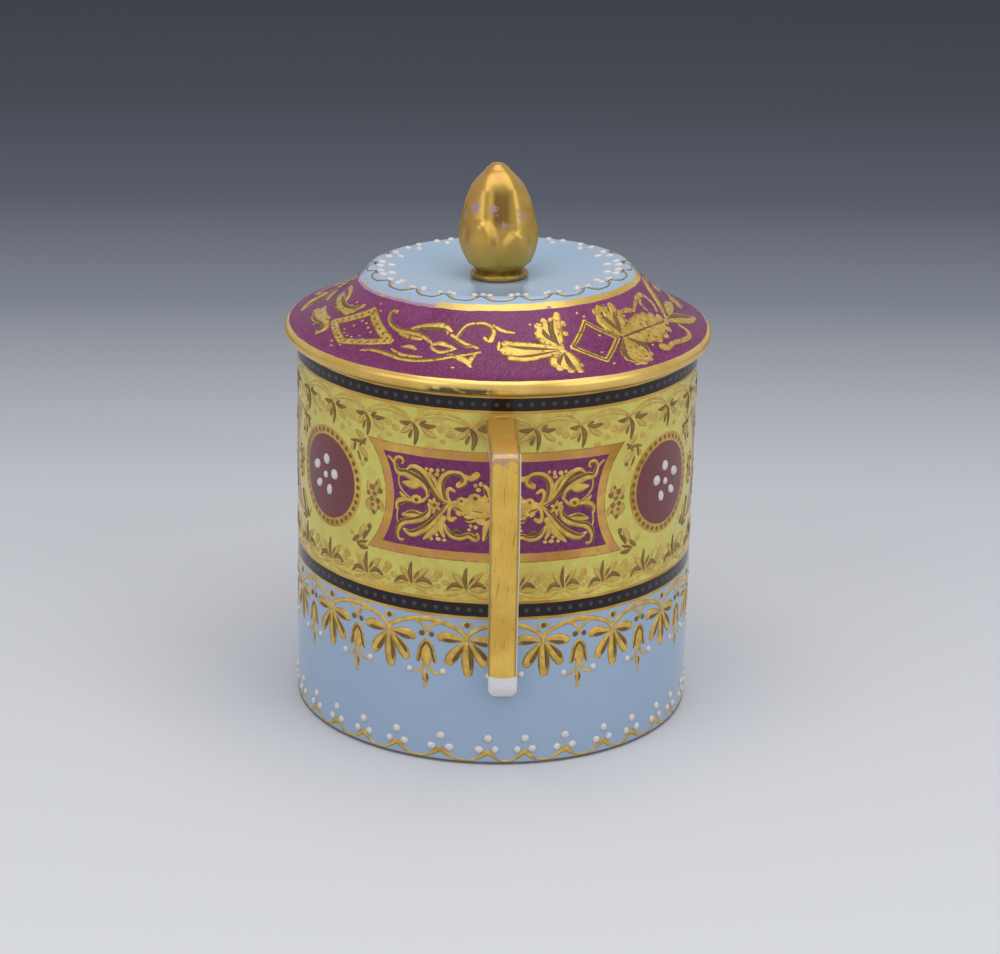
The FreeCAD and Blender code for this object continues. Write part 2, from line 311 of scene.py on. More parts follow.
@dataclass(frozen=True)
class PaintedWall:
    """The glaze and enamels of the cup: blue ground, yellow frieze, dark bands, cartouches and the gilt strap."""

    blue: Colour = paint(154, 175, 199)
    yellow: Colour = paint(206, 198, 100)
    yellow_deep: Colour = paint(196, 184, 88)
    tawny: Colour = paint(182, 146, 66)
    limb_shadow_brown: Colour = paint(172, 136, 62)
    dark: Colour = paint(19, 8, 5)
    dot: Colour = paint(70, 60, 68)
    ring_bead: Colour = paint(134, 96, 34)
    purple: Colour = paint(118, 42, 88)
    violet: Colour = paint(88, 32, 84)
    plum: Colour = paint(110, 54, 58)
    rose: Colour = paint(198, 130, 96)
    white: Colour = paint(214, 214, 216)
    tongue_foot_tint: Colour = paint(150, 120, 110)
    gold: Gold = Gold()
    strap_gold: Gold = Gold(paint(240, 200, 98), paint(226, 180, 78), paint(132, 92, 36))
    strap_scratch: Colour = paint(150, 108, 48)
    # Brown of the limb: wear, and a painted reflection of the wall and cover.
    limb_wear_and_reflection: Colour = paint(172, 122, 60)
    strap_corner: Colour = paint(142, 118, 128)
    glaze: float = 0.16
    lip_inside: float = 0.75
    strap_clear: float = 0.12
    strap_root: float = 3.0
    # How far the painted shadow of the strap's limb reaches round its root on the wall.
    limb_shadow: float = 3.9
    strap_half: float = 2.5
    strap_lean: float = 0.0227
    tongue_gilt: float = 17.4
    strap_front: float = -52.0
    strap_top: float = 61.0

    def dress(self) -> bpy.types.Material:
        """Build the material.

        Returns:
            The painted wall's material.
        """
        s = Shader("painted_porcelain")
        across, along, up = s.position()
        radius = (across * across + along * along).root()
        angle = across.math("ARCTAN2", -along)
        arc = (angle - math.radians(CAMERA_TURN)) * LAYOUT.radius
        waver = (s.noise(260.0, 2.0) - 0.5) * 0.22
        height = up + waver
        colour, gilt = self.grounds(s, arc, height)
        _, facing_back, facing_up = s.facing()
        outward = (-facing_back).most(facing_up)
        # Painted shadow and reflection of the strap's limb: the wall round the limb's root is darkened to a golden
        # brown.
        root = height - LAYOUT.high_band[0] + self.strap_root
        near = (across * across * 0.5 + root * root).root().below(self.limb_shadow, 1.8)
        limb_shadow = near * along.below(0.0) * root.below(2.7)
        colour = s.mix(limb_shadow * 0.6, colour, self.limb_shadow_brown)
        strap = radius.above(LAYOUT.radius + self.strap_clear) * along.below(0.0)
        strap_colour, strap_gilt = self.strap(s, across, up, outward)
        colour = s.mix(strap, colour, strap_colour)
        bare = radius.below(LAYOUT.radius - self.lip_inside).most(up.below(0.02))
        colour = s.mix(bare, colour, self.white)
        gilt = gilt * (1.0 - strap) * (1.0 - bare) + strap * strap_gilt
        s.bump(s.noise(900.0, 2.0), 0.02, 0.25)
        return s.finish(
            Base_Color=colour,
            Metallic=gilt * self.gold.metal,
            Roughness=self.glaze + gilt * (self.gold.rough - self.glaze),
            Specular_IOR_Level=0.32,
            Coat_Weight=0.08,
            Coat_Roughness=0.06,
        )

    def grounds(self, s: Shader, arc: Value, height: Value) -> tuple[object, Value]:
        """The bands, fields and medallions of the wall.

        Args:
            s: The material being built.
            arc: Millimetres round the wall.
            height: Millimetres above the table.

        Returns:
            The colour and the mask of the gilding.
        """
        near = None
        for azimuth in LAYOUT.medallions:
            offset = (arc - LAYOUT.arc(azimuth)).wrapped(LAYOUT.girth).size()
            near = offset if near is None else near.least(offset)
        rise = height - LAYOUT.medallion_height
        reach = (near * near + rise * rise).root()
        cloud = s.noise(90.0, 4.0)
        speck = s.noise(1600.0, 2.0)
        blue = s.mix(cloud, self.blue, tuple(0.92 * part for part in self.blue))
        low, high = LAYOUT.low_band, LAYOUT.high_band
        yellow = s.mix(cloud.above(0.5, 0.4), self.yellow, self.yellow_deep)
        border = height.below(low[1] + 5.2, 1.8).most(height.above(high[0] - 5.6, 1.8))
        tawny = s.noise(420.0, 3.0).above(0.52, 0.12) * (0.36 + border * 0.5)
        yellow = s.mix(tawny * 0.6, yellow, self.tawny)
        colour = s.mix(height.above((low[0] + low[1]) / 2), blue, yellow)
        gold = s.mix(cloud.above(0.5, 0.3), self.gold.bright, self.gold.deep)
        frame_zone = rise.size().below(LAYOUT.frame_half) * reach.above(LAYOUT.frame_gap)
        field_zone = rise.size().below(LAYOUT.field_half) * reach.above(LAYOUT.field_gap)
        rubbed = s.noise(420.0, 4.0).above(0.54, 0.16)
        colour = s.mix(frame_zone, colour, s.mix(rubbed * 0.65, gold, self.rose))
        outline = LAYOUT.frame_outline
        inner = rise.size().below(LAYOUT.frame_half - outline) * reach.above(LAYOUT.frame_gap + outline)
        rim = frame_zone - inner
        colour = s.mix(rim * speck.above(0.5, 0.3) * 0.55, colour, self.gold.brown)
        purple = s.mix(speck.above(0.56, 0.2), self.purple, self.violet)
        colour = s.mix(field_zone, colour, purple)
        ring_zone = reach.below(LAYOUT.ring)
        disc_zone = reach.below(LAYOUT.disc)
        colour = s.mix(ring_zone, colour, s.mix(0.35 * rubbed, gold, self.yellow))
        turn = rise.math("ARCTAN2", near).wrapped(2 * math.pi / LAYOUT.ring_dots)
        middle = (LAYOUT.disc + LAYOUT.ring) / 2
        side = turn * middle
        bead = (side * side + (reach - middle) * (reach - middle)).root()
        colour = s.mix(bead.below(LAYOUT.bead, 0.12), colour, self.ring_bead)
        colour = s.mix(disc_zone, colour, self.plum)
        gilt = frame_zone.most(ring_zone) - field_zone - disc_zone
        step = arc.wrapped(LAYOUT.girth / LAYOUT.band_dots)
        for floor, top in (low, high):
            inside = height.between(floor, top)
            edged = height.between(floor - LAYOUT.line, top + LAYOUT.line)
            centre = height - (floor + top) / 2
            dot = (step * step + centre * centre).root().below(LAYOUT.band_dot, 0.2)
            colour = s.mix(edged, colour, gold)
            colour = s.mix(inside, colour, s.mix(dot, self.dark, self.dot))
            gilt = gilt.most(edged) - inside
        lip = height.above(high[1])
        colour = s.mix(lip, colour, gold)
        return colour, gilt.most(lip)

    def strap(self, s: Shader, across: Value, up: Value, outward: Value) -> tuple[object, Value]:
        """The strap's gilt face between its white sides.

        Args:
            s: The material being built.
            across: Millimetres from the strap's middle.
            up: Millimetres above the table.
            outward: How far the surface faces outwards or up, to 1.

        Returns:
            The colour and the mask of the gilding.
        """
        drawn_out = s.node("ShaderNodeVectorMath", {"operation": "MULTIPLY"}, {0: s.place, 1: (1.0, 0.2, 0.06)})
        scratch = s.noise(2600.0, 4.0, 0.7, drawn_out.outputs[0])
        cloud = s.noise(160.0, 4.0)
        across = across - (33.0 - up) * self.strap_lean
        edge = self.strap_half - across.above(0.0) * 0.24 + (s.noise(500.0) - 0.5) * 0.14
        side = outward.above(0.08, 0.1) * across.below(0.0)
        face = (outward.above(0.4, 0.1) * across.size().below(edge, 0.1)).most(side)
        end = self.tongue_gilt + (s.noise(300.0) - 0.5) * 1.0 + across.size() * 0.15
        face = face * up.above(end, 0.1)
        gold = s.mix(cloud.above(0.5, 0.3), self.strap_gold.bright, self.strap_gold.deep)
        gold = s.mix(scratch.above(0.62, 0.1) * 0.6, gold, self.strap_scratch)
        gold = s.mix(across.size().above(edge - 0.35, 0.3) * 0.6, gold, self.strap_gold.brown)
        face_on = s.position()[1].below(self.strap_front, 0.6)
        smudge = (s.noise(560.0, 3.0) - 0.5) * 10.0 - across * 0.35
        corner = (up + smudge).above(self.strap_top, 1.6) * face_on
        # The limb is painted a patchy brown gold, partly wear and partly a painted reflection of the wall and cover
        # that its top faces; the corner below it is rubbed to lilac grey.
        limb = up.above(self.strap_top - 1.0, 0.8) * (1.0 - face_on)
        face = face.most(up.above(self.strap_top - 0.4, 0.3) * (1.0 - face_on))
        worn = (limb * (0.35 + s.noise(300.0, 4.0).above(0.5, 0.3) * 0.4)).most(corner * 0.72)
        rubbed = s.mix(corner, self.limb_wear_and_reflection, self.strap_corner)
        gold = s.mix(worn * 0.85, gold, rubbed)
        # Below 13.6 mm, where the strap's tongue meets the wall, its white turns greyish brown in patches.
        bare = s.mix(up.below(13.6, 0.5) * s.noise(500.0).above(0.45, 0.1), self.white, self.tongue_foot_tint)
        return s.mix(face, bare, gold), face * (1.0 - 0.6 * worn)


@dataclass(frozen=True)
class PaintedCover:
    """The cover's enamels: a pale blue top, a stippled purple shoulder and a gilt rim."""

    blue: Colour = paint(158, 180, 202)
    blue_deep: Colour = paint(150, 173, 196)
    purple: Colour = paint(120, 24, 82)
    violet: Colour = paint(84, 16, 64)
    ink: Colour = paint(100, 54, 126)
    pink: Colour = paint(168, 64, 108)
    # Lilac of the shoulder's fine stipple, also used for the painted sheen near its crest.
    lilac_stipple_and_sheen: Colour = paint(158, 92, 136)
    rubbed: Colour = paint(178, 164, 188)
    rim_underside_dark: Colour = paint(44, 30, 18)
    white: Colour = paint(226, 228, 232)
    gold: Gold = Gold(paint(236, 200, 112), paint(214, 174, 88))
    top_edge: float = 23.3
    line_outer: float = 24.5
    rim_inner: float = 36.45
    rim_under: float = 35.6
    flange: float = 32.3
    glaze: float = 0.16

    def dress(self) -> bpy.types.Material:
        """Build the material.

        Returns:
            The painted cover's material.
        """
        s = Shader("painted_cover")
        across, along, up = s.position()
        radius = (across * across + along * along).root()
        reach = radius + (s.noise(300.0, 2.0) - 0.5) * 0.35
        cloud = s.noise(110.0, 4.0)
        speck = s.noise(2400.0, 2.0)
        fine = s.noise(4200.0, 1.0)
        purple = s.mix(speck.above(0.5, 0.25), self.purple, self.violet)
        purple = s.mix(fine.above(0.62, 0.15) * 0.4, purple, self.lilac_stipple_and_sheen)
        blot = s.noise(1900.0, 3.0)
        purple = s.mix(blot.above(0.57, 0.1) * 0.3, purple, self.ink)
        purple = s.mix(blot.below(0.42, 0.1) * 0.22, purple, self.pink)
        # Painted sheen: the upper shoulder towards the crest is clouded with lighter lilac, standing in for the room's
        # reflection in the grazing slope.
        high = reach.below(28.0, 5.0) * cloud.above(0.5, 0.3)
        purple = s.mix(high * 0.25, purple, self.lilac_stipple_and_sheen)
        blue = s.mix(cloud, self.blue, self.blue_deep)
        gold = s.mix(cloud.above(0.5, 0.3), self.gold.bright, self.gold.deep)
        line = reach.between(self.top_edge + 0.35, self.line_outer)
        rag = s.noise(420.0, 5.0, 0.6)
        left = across.below(-11.0, 7.0) * along.below(6.0, 8.0)
        worn = (rag + left * 0.2).above(0.62, 0.05)
        bare_line = line * worn * (rag + left * 0.1).above(0.5, 0.1)
        line = line * (1.0 - worn)
        rim = reach.above(self.rim_inner).most(up.below(68.6) * radius.above(34.0))
        colour = s.mix(reach.above(self.line_outer - 0.35), blue, purple)
        colour = s.mix(bare_line * 0.6, colour, self.rubbed)
        colour = s.mix(line.most(rim), colour, gold)
        # Dark patches, broken by noise, on the underside of the rim bead at the front left, where the gold is also
        # dimmed.
        under = up.below(67.9, 0.5) * along.below(0.0) * across.between(-13.0, -2.0, 1.5)
        rim_underside_dark = under * (rag.above(0.42, 0.1) * 0.9)
        colour = s.mix(rim_underside_dark, colour, self.rim_underside_dark)
        bare = radius.below(self.flange) * up.below(69.0)
        bare = bare.most(s.facing()[2].below(-0.2) * radius.below(self.rim_under))
        colour = s.mix(bare, colour, self.white)
        gilt = line.most(rim) * (1.0 - bare) * (1.0 - rim_underside_dark)
        ground = reach.above(self.line_outer) * (1.0 - rim)
        s.bump(fine * ground, 0.03, 0.4)
        return s.finish(
            Base_Color=colour,
            Metallic=gilt * self.gold.metal,
            Roughness=self.glaze + gilt * 0.12 + ground * 0.24,
            Specular_IOR_Level=0.3,
            Coat_Weight=0.06,
            Coat_Roughness=0.06,
        )


@dataclass(frozen=True)
class Gilding:
    """Gold or one of the painted shades of gold, with the colour of its scuffs where it has any."""

    name: str
    light: Colour
    dark: Colour
    metal: float = 0.4
    rough: float = 0.34
    scuffs: Colour | None = None

    def dress(self) -> bpy.types.Material:
        """Build the material.

        Returns:
            The stroke's material.
        """
        s = Shader(self.name)
        colour = s.mix(s.noise(700.0, 3.0).above(0.5, 0.35), self.light, self.dark)
        if self.scuffs:
            colour = s.mix(s.noise(1500.0, 3.0).above(0.6, 0.08) * 0.8, colour, self.scuffs)
        return s.finish(Base_Color=colour, Roughness=self.rough, Metallic=self.metal)


@dataclass(frozen=True)
class WhiteEnamel:
    """Raised drops of opaque white enamel."""

    colour: Colour = paint(218, 212, 208)
    shade: Colour = paint(198, 190, 188)

    def dress(self) -> bpy.types.Material:
        """Build the material.

        Returns:
            The enamel's material.
        """
        s = Shader("stroke_enamel")
        colour = s.mix(s.noise(700.0), self.colour, self.shade)
        return s.finish(Base_Color=colour, Roughness=0.22, Coat_Weight=0.3, Coat_Roughness=0.08)


@dataclass(frozen=True)
class GiltBud:
    """The bud's gilding: greenish and orange clouds, and lilac where it is rubbed through."""

    gold: Colour = paint(200, 162, 74)
    green: Colour = paint(178, 150, 62)
    orange: Colour = paint(198, 142, 80)
    brown: Colour = paint(98, 66, 22)
    rubbed: Colour = paint(148, 124, 142)
    spots: tuple[tuple[float, float, float, float], ...] = (
        (-4.6, -4.4, 90.2, 0.85),
        (-1.5, -5.4, 90.0, 0.8),
        (0.7, -6.4, 87.4, 0.95),
        (3.0, -5.7, 89.5, 0.8),
        (4.1, -5.1, 88.6, 0.85),
        (0.0, -4.2, 94.0, 0.6),
        (-6.3, -2.0, 88.4, 0.8),
        (-3.0, 5.4, 89.0, 0.8),
    )

    def dress(self) -> bpy.types.Material:
        """Build the material.

        Returns:
            The bud's material.
        """
        s = Shader("gilt_bud")
        up = s.position()[2]
        cloud = s.noise(150.0, 3.0)
        patch = s.noise(230.0, 2.0)
        ragged = (s.noise(1300.0, 4.0, 0.7) - 0.5) * 3.4
        colour = s.mix(cloud.above(0.5, 0.25), self.gold, self.green)
        colour = s.mix(patch.above(0.54, 0.2) * up.above(84.0, 6.0) * 0.8, colour, self.orange)
        worn = None
        for *place, size in self.spots:
            point = tuple(part * MM for part in place)
            away = s.node("ShaderNodeVectorMath", {"operation": "DISTANCE"}, {0: s.place, 1: point}).outputs["Value"]
            spot = (Value(s, away) * (1 / MM) + ragged).below(size, 0.5)
            worn = spot if worn is None else worn.most(spot)
        colour = s.mix(worn * 0.85, colour, self.rubbed)
        across, along, _ = s.position()
        # Painted shade: brown in the trough between the front petals, over the brink of the lower petal, and round the
        # pinched neck and ring foot.
        trough = (across + 0.1).size().below(1.5, 1.3) * along.below(0.0) * up.between(87.2, 93.0, 2.0)
        brink = (across + 1.4).size().below(0.45, 0.4) * along.below(0.0) * up.between(83.9, 85.3, 0.8)
        neck = up.below(79.0, 0.7) * (0.4 + s.noise(700.0, 3.0).above(0.5, 0.2) * 0.6)
        shade = (trough * 0.72).most(neck * 0.6).most(brink * 0.4)
        colour = s.mix(shade * (1.0 - worn), colour, self.brown)
        s.bump(s.noise(420.0, 3.0), 0.16, 0.4)
        return s.finish(
            Base_Color=colour,
            Metallic=(0.4 + up.above(85.0, 4.0) * 0.25) * (1.0 - worn),
            Roughness=0.32 - up.above(88.0, 4.0) * 0.06 + cloud * 0.1,
        )


@dataclass(frozen=True)
class StudioSweep:
    """The studio's paper: pale at the front and slate grey at the far side."""

    near_edge: float = -100.0
    depth: float = 850.0
    stops: tuple[tuple[float, Colour], ...] = (
        (0.0, paint(208, 209, 211)),
        (0.11, paint(203, 204, 208)),
        (0.17, paint(201, 202, 206)),
        (0.24, paint(192, 193, 197)),
        (0.32, paint(168, 171, 176)),
        (0.42, paint(128, 133, 143)),
        (0.56, paint(91, 95, 106)),
        (0.74, paint(74, 77, 86)),
        (1.0, paint(66, 69, 76)),
    )

    def dress(self) -> bpy.types.Material:
        """Build the material.

        Returns:
            The paper's material.
        """
        s = Shader("studio_paper")
        along = s.position()[1]
        ramp = s.node("ShaderNodeValToRGB", {"stops": self.stops}, {0: (along - self.near_edge) / self.depth})
        return s.finish(Base_Color=ramp.outputs[0], Roughness=0.9, Specular_IOR_Level=0.1)


class Tint(Enum):
    """The finishes that brush strokes and drops come in."""

    GOLD = "gold"
    LEAF = "leaf"
    BROWN = "brown"
    OLIVE = "olive"
    BLUSH = "blush"
    ENAMEL = "enamel"

    def material(self) -> bpy.types.Material:
        """The finish's material, made when it is first asked for."""
        made = bpy.data.materials.get(f"stroke_{self.value}")
        return made or FINISHES[self].dress()


GOLD, LEAF, BROWN, OLIVE, BLUSH, ENAMEL = Tint

FINISHES = {
    GOLD: Gilding("stroke_gold", paint(226, 188, 92), paint(190, 150, 64)),
    LEAF: Gilding("stroke_leaf", paint(222, 186, 92), paint(192, 152, 64), 0.5, 0.3, paint(120, 72, 60)),
    BROWN: Gilding("stroke_brown", paint(96, 68, 26), paint(122, 90, 38), 0.1, 0.42),
    OLIVE: Gilding("stroke_olive", paint(114, 84, 34), paint(142, 110, 50), 0.15, 0.4),
    BLUSH: Gilding("stroke_blush", paint(204, 172, 84), paint(186, 146, 66), 0.15, 0.4),
    ENAMEL: WhiteEnamel(),
}


# ---------------------------------------------------------------- modelling


def only(piece: bpy.types.Object) -> None:
    """Select one piece alone and make it active."""
    bpy.ops.object.select_all(action="DESELECT")
    piece.select_set(True)
    bpy.context.view_layer.objects.active = piece


def finish_piece(piece: bpy.types.Object, name: str, material: bpy.types.Material) -> bpy.types.Object:
    """Name, dress and seat a finished piece.

    Args:
        piece: The piece.
        name: Its name.
        material: Its finish.

    Returns:
        The piece.
    """
    piece.name = name
    piece.data.name = name
    piece.data.materials.clear()
    piece.data.materials.append(material)
    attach(piece, "root")
    LOG.info("%s: %d faces", name, len(piece.data.polygons))
    return piece


def join(pieces: Sequence[bpy.types.Object]) -> bpy.types.Object:
    """Join pieces into the first of them.

    Args:
        pieces: The pieces.

    Returns:
        The joined piece.
    """
    only(pieces[0])
    for piece in pieces[1:]:
        piece.select_set(True)
    if len(pieces) > 1:
        bpy.ops.object.join()
    return pieces[0]


def copies(pattern: bpy.types.Object, places: Iterable[Matrix]) -> list[bpy.types.Object]:
    """Copy a pattern piece to several places, each copy with its own mesh, and delete the pattern.

    Args:
        pattern: The piece to copy.
        places: One matrix for each copy.

    Returns:
        The copies.
    """
    made = []
    for place in places:
        piece = bpy.data.objects.new(pattern.name, pattern.data.copy())
        piece.data.transform(place)
        bpy.context.collection.objects.link(piece)
        made.append(piece)
    bpy.data.objects.remove(pattern)
    return made


def vertices(piece: bpy.types.Object) -> np.ndarray:
    """A piece's points in millimetres."""
    points = np.empty(len(piece.data.vertices) * 3)
    piece.data.vertices.foreach_get("co", points)
    return points.reshape(-1, 3) / MM


def move(piece: bpy.types.Object, points: np.ndarray) -> None:
    """Put a piece's points at new places, in millimetres."""
    piece.data.vertices.foreach_set("co", (points * MM).ravel())
    piece.data.update()


class Lathe:
    """Turns a form on the upright axis, ring by ring, and shades it smooth up to an angle in degrees."""

    smooth: float = 38.0

    def __init__(self, radius: float, height: float, sides: int = 160) -> None:
        """Start with a disc of the given radius and height, in millimetres."""
        bpy.ops.object.select_all(action="DESELECT")
        bpy.ops.mesh.primitive_circle_add(vertices=sides, radius=radius * MM, fill_type="NGON")
        self.piece = bpy.context.object
        bpy.ops.object.mode_set(mode="EDIT")
        bpy.ops.mesh.select_all(action="SELECT")
        bpy.ops.transform.translate(value=(0, 0, height * MM))
        self.radius = radius
        self.height = height

    def ring(self, radius: float, height: float) -> None:
        """Extrude the open face to a new radius and height."""
        bpy.ops.mesh.extrude_region_move(TRANSFORM_OT_translate={"value": (0, 0, (height - self.height) * MM)})
        share = radius / self.radius
        bpy.ops.transform.resize(value=(share, share, 1.0), center_override=(0, 0, 0))
        self.radius = radius
        self.height = height

    def turn(self, profile: Iterable[Point]) -> bpy.types.Object:
        """Turn the whole profile and close the form.

        Args:
            profile: Radii and heights in order.

        Returns:
            The turned piece.
        """
        for radius, height in profile:
            self.ring(radius, height)
        bpy.ops.mesh.select_all(action="SELECT")
        bpy.ops.mesh.normals_make_consistent(inside=False)
        bpy.ops.object.mode_set(mode="OBJECT")
        only(self.piece)
        bpy.ops.object.shade_smooth_by_angle(angle=math.radians(self.smooth))
        return self.piece


def bow(centre: Point, radius: float, first: float, last: float, steps: int) -> list[Point]:
    """Points along an arc.

    Args:
        centre: The arc's centre.
        radius: Its radius.
        first: Its first angle in degrees.
        last: Its last angle in degrees.
        steps: How many parts it has.

    Returns:
        The points.
    """
    angles = [math.radians(first + (last - first) * step / steps) for step in range(steps + 1)]
    return [(centre[0] + radius * math.cos(angle), centre[1] + radius * math.sin(angle)) for angle in angles]


@dataclass
class Cover:
    """The cover without its finial, with the roundings that the solid has as facets."""

    lip: float = 66.6
    flange_radius: float = 32.0
    flange_wall: float = 2.3
    flange_foot: float = 62.4
    flange_round: float = 0.6
    under_radius: float = 19.2
    under_height: float = 74.6
    under_rise: float = 70.0
    bead_centre: Point = (35.87, 67.93)
    bead: float = 1.33
    crest_centre: Point = (22.0, 77.7)
    crest: float = 1.6
    crest_start: float = 42.0
    crest_end: float = 105.0
    hollow: float = 1.05
    shoulder_steps: int = 18
    seat_radius: float = 5.0
    seat_height: float = 76.9
    lean: Point = (0.024, -0.024)
    dip: float = 0.4
    lean_radius: float = 34.4
    lean_ease: float = 5.0

    def settle(self, points: np.ndarray) -> None:
        """Let the middle of the cover sink a little to the left and the back, as it did in the kiln.

        Args:
            points: Points on the cover in millimetres, which are moved.
        """
        radius = np.hypot(points[:, 0], points[:, 1])
        inside = np.clip((self.lean_radius - radius) / self.lean_ease, 0.0, 1.0)
        share = inside * np.clip((points[:, 2] - self.lip) / 2.0, 0.0, 1.0)
        sunk = self.dip * np.clip((radius - self.seat_radius) / 15.0, 0.0, 1.0)
        tilt = points[:, 0] * self.lean[0] + points[:, 1] * self.lean[1]
        points[:, 2] += share * share * (3.0 - 2.0 * share) * (tilt - sunk)

    @property
    def bead_top(self) -> float:
        """Height of the rim bead's top."""
        return self.bead_centre[1] + self.bead

    @property
    def crest_foot(self) -> Point:
        """Where the shoulder meets the crest's rounding."""
        return bow(self.crest_centre, self.crest, self.crest_start, self.crest_start, 1)[0]

    def shoulder(self, share: float) -> Point:
        """A point of the shoulder's hollow curve, from the rim at 0 to the crest at 1."""
        foot, top = (self.bead_centre[0], self.bead_top), self.crest_foot
        sag = self.hollow * 4 * share * (1 - share)
        return foot[0] + (top[0] - foot[0]) * share, foot[1] + (top[1] - foot[1]) * share - sag

    def profile(self) -> list[Point]:
        """The whole section, from the hollow's middle round the rim to the finial's seat.

        Returns:
            Radii and heights.
        """
        inner = self.flange_radius - self.flange_wall
        soft = self.flange_round
        foot = self.flange_foot + soft
        under = [(self.under_radius, self.under_height), (inner, self.under_rise)]
        flange = [
            *bow((inner + soft, foot), soft, 180, 270, 4),
            *bow((self.flange_radius - soft, foot), soft, -90, 0, 4),
            (self.flange_radius, self.lip),
        ]
        shares = [step / self.shoulder_steps for step in range(1, self.shoulder_steps)]
        crest = bow(self.crest_centre, self.crest, self.crest_start, self.crest_end, 8)
        return [
            *under,
            *flange,
            *bow(self.bead_centre, self.bead, -90, 90, 16),
            *[self.shoulder(share) for share in shares],
            *crest,
            (self.seat_radius, self.seat_height),
            (0.5, self.seat_height),
        ]

    def build(self) -> bpy.types.Object:
        """Turn and dress the cover.

        Returns:
            The cover.
        """
        piece = Lathe(0.5, self.under_height).turn(self.profile())
        points = vertices(piece)
        self.settle(points)
        move(piece, points)
        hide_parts("lid")
        return finish_piece(piece, "cover", PaintedCover().dress())


@dataclass(frozen=True)
class Petal:
    """One petal of the bud.

    Its fields are where it faces, half its breadth, where it starts to taper, its tip, its thickness, and how far in
    from its sides and its tip it reaches that thickness.
    """

    azimuth: float
    half: float
    shoulder: float
    tip: float
    thickness: float
    soft: float = 1.5
    ledge: float = 0.9

    def rise(self, angle: np.ndarray, height: np.ndarray, radius: np.ndarray) -> np.ndarray:
        """How far the petal stands off the bud's core.

        Args:
            angle: Azimuths of the points in degrees.
            height: Their heights over the seat in millimetres.
            radius: Their radii.

        Returns:
            Millimetres.
        """
        taper = np.clip((height - self.shoulder) / (self.tip - self.shoulder), 0.0, 1.0)
        half = self.half * np.sqrt(1.0 - taper**2)
        aside = np.abs((angle - self.azimuth + 180.0) % 360.0 - 180.0)
        inside = np.minimum((half - aside) * radius * math.pi / 180.0 / self.soft, (self.tip - height) / self.ledge)
        edge = np.clip(inside, 0.0, 1.0)
        return self.thickness * edge * edge * (3.0 - 2.0 * edge)


@dataclass
class Bud:
    """The gilt bud: a ring foot, a pinched neck, tall petals and a row of short ones over them, all worn soft."""

    seat: float = 76.9
    foot: float = 5.1
    foot_round: float = 0.6
    neck: float = 4.0
    step: float = 0.2
    sides: int = 288
    worn_aside: tuple[float, ...] = (-4.6, -2.3, 0.0, 2.3, 4.6)
    worn_up: tuple[float, ...] = (-0.3, 0.0, 0.3)
    core: tuple[Point, ...] = (
        (1.4, 3.95), (2.0, 4.15), (2.9, 4.65), (4.5, 5.42), (6.8, 6.0), (9.0, 6.0), (10.4, 5.9), (13.4, 5.15),
        (16.4, 3.85), (17.8, 2.95), (18.8, 2.15), (19.3, 1.6),
    )
    stoop: Point = (0.034, -0.024)
    tip_centre: Point = (0.4, 18.7)
    tip: float = 1.35
    tall: tuple[Petal, ...] = (
        Petal(-44.0, 40.0, 30.0, 40.0, 0.85, 1.9),
        Petal(54.0, 39.0, 30.0, 40.0, 0.72, 1.7),
        Petal(118.0, 37.0, 30.0, 40.0, 0.7, 1.8),
        Petal(180.0, 38.0, 30.0, 40.0, 0.7, 1.8),
        Petal(-114.0, 40.0, 30.0, 40.0, 0.7, 1.8),
    )
    short: tuple[Petal, ...] = (
        Petal(-26.0, 33.0, 4.6, 11.4, 0.78, 1.5),
        Petal(29.0, 32.0, 3.8, 9.4, 0.86, 1.3),
        Petal(80.0, 34.0, 4.2, 10.8, 0.34, 1.9, 2.0),
        Petal(132.0, 34.0, 4.2, 10.2, 0.4, 1.8),
        Petal(-176.0, 34.0, 4.2, 10.4, 0.4, 1.8),
        Petal(-126.0, 34.0, 4.2, 10.2, 0.4, 1.8),
        Petal(-78.0, 34.0, 4.2, 10.8, 0.34, 1.9, 2.0),
    )

    def profile(self) -> list[Point]:
        """The section of the foot and of the core under the petals.

        Returns:
            Radii and heights.
        """
        ring = self.foot - self.foot_round
        heights = np.arange(self.core[0][0], self.core[-1][0], self.step)
        radii = np.interp(heights, *np.transpose(self.core))
        eased = np.convolve(np.pad(radii, 4, mode="edge"), np.ones(9) / 9, "valid")
        return [
            *bow((ring, self.seat + self.foot_round), self.foot_round, -90, 90, 8),
            (self.neck, self.seat + 2 * self.foot_round + 0.05),
            *[(radius, self.seat + height) for radius, height in zip(eased, heights)],
            *bow((self.tip_centre[0], self.seat + self.tip_centre[1]), self.tip, 34, 88, 6),
        ]

    def build(self) -> bpy.types.Object:
        """Turn the core, raise the petals on it and gild it.

        Returns:
            The bud.
        """
        piece = Lathe(self.foot - self.foot_round, self.seat - 0.3, self.sides).turn(self.profile())
        points = vertices(piece)
        radius = np.hypot(points[:, 0], points[:, 1])
        angle = np.degrees(np.arctan2(points[:, 0], -points[:, 1])) - CAMERA_TURN
        height = points[:, 2] - self.seat
        rise = sum(
            sum(petal.rise(angle + turn, height + lift, radius) ** 3 for petal in row) ** (1 / 3)
            for row in (self.tall, self.short) for turn in self.worn_aside for lift in self.worn_up
        ) / (len(self.worn_aside) * len(self.worn_up))
        rise *= np.clip((height - self.core[0][0]) / 1.6, 0.0, 1.0) * np.clip((19.4 - height) / 3.4, 0.0, 1.0)
        points[:, :2] *= (1.0 + rise / np.maximum(radius, 0.1))[:, None]
        points -= np.outer(height, (*self.stoop, 0.0))
        Cover().settle(points)
        move(piece, points)
        only(piece)
        bpy.ops.object.shade_smooth()
        return finish_piece(piece, "bud", GiltBud().dress())


# ---------------------------------------------------------------- brushwork


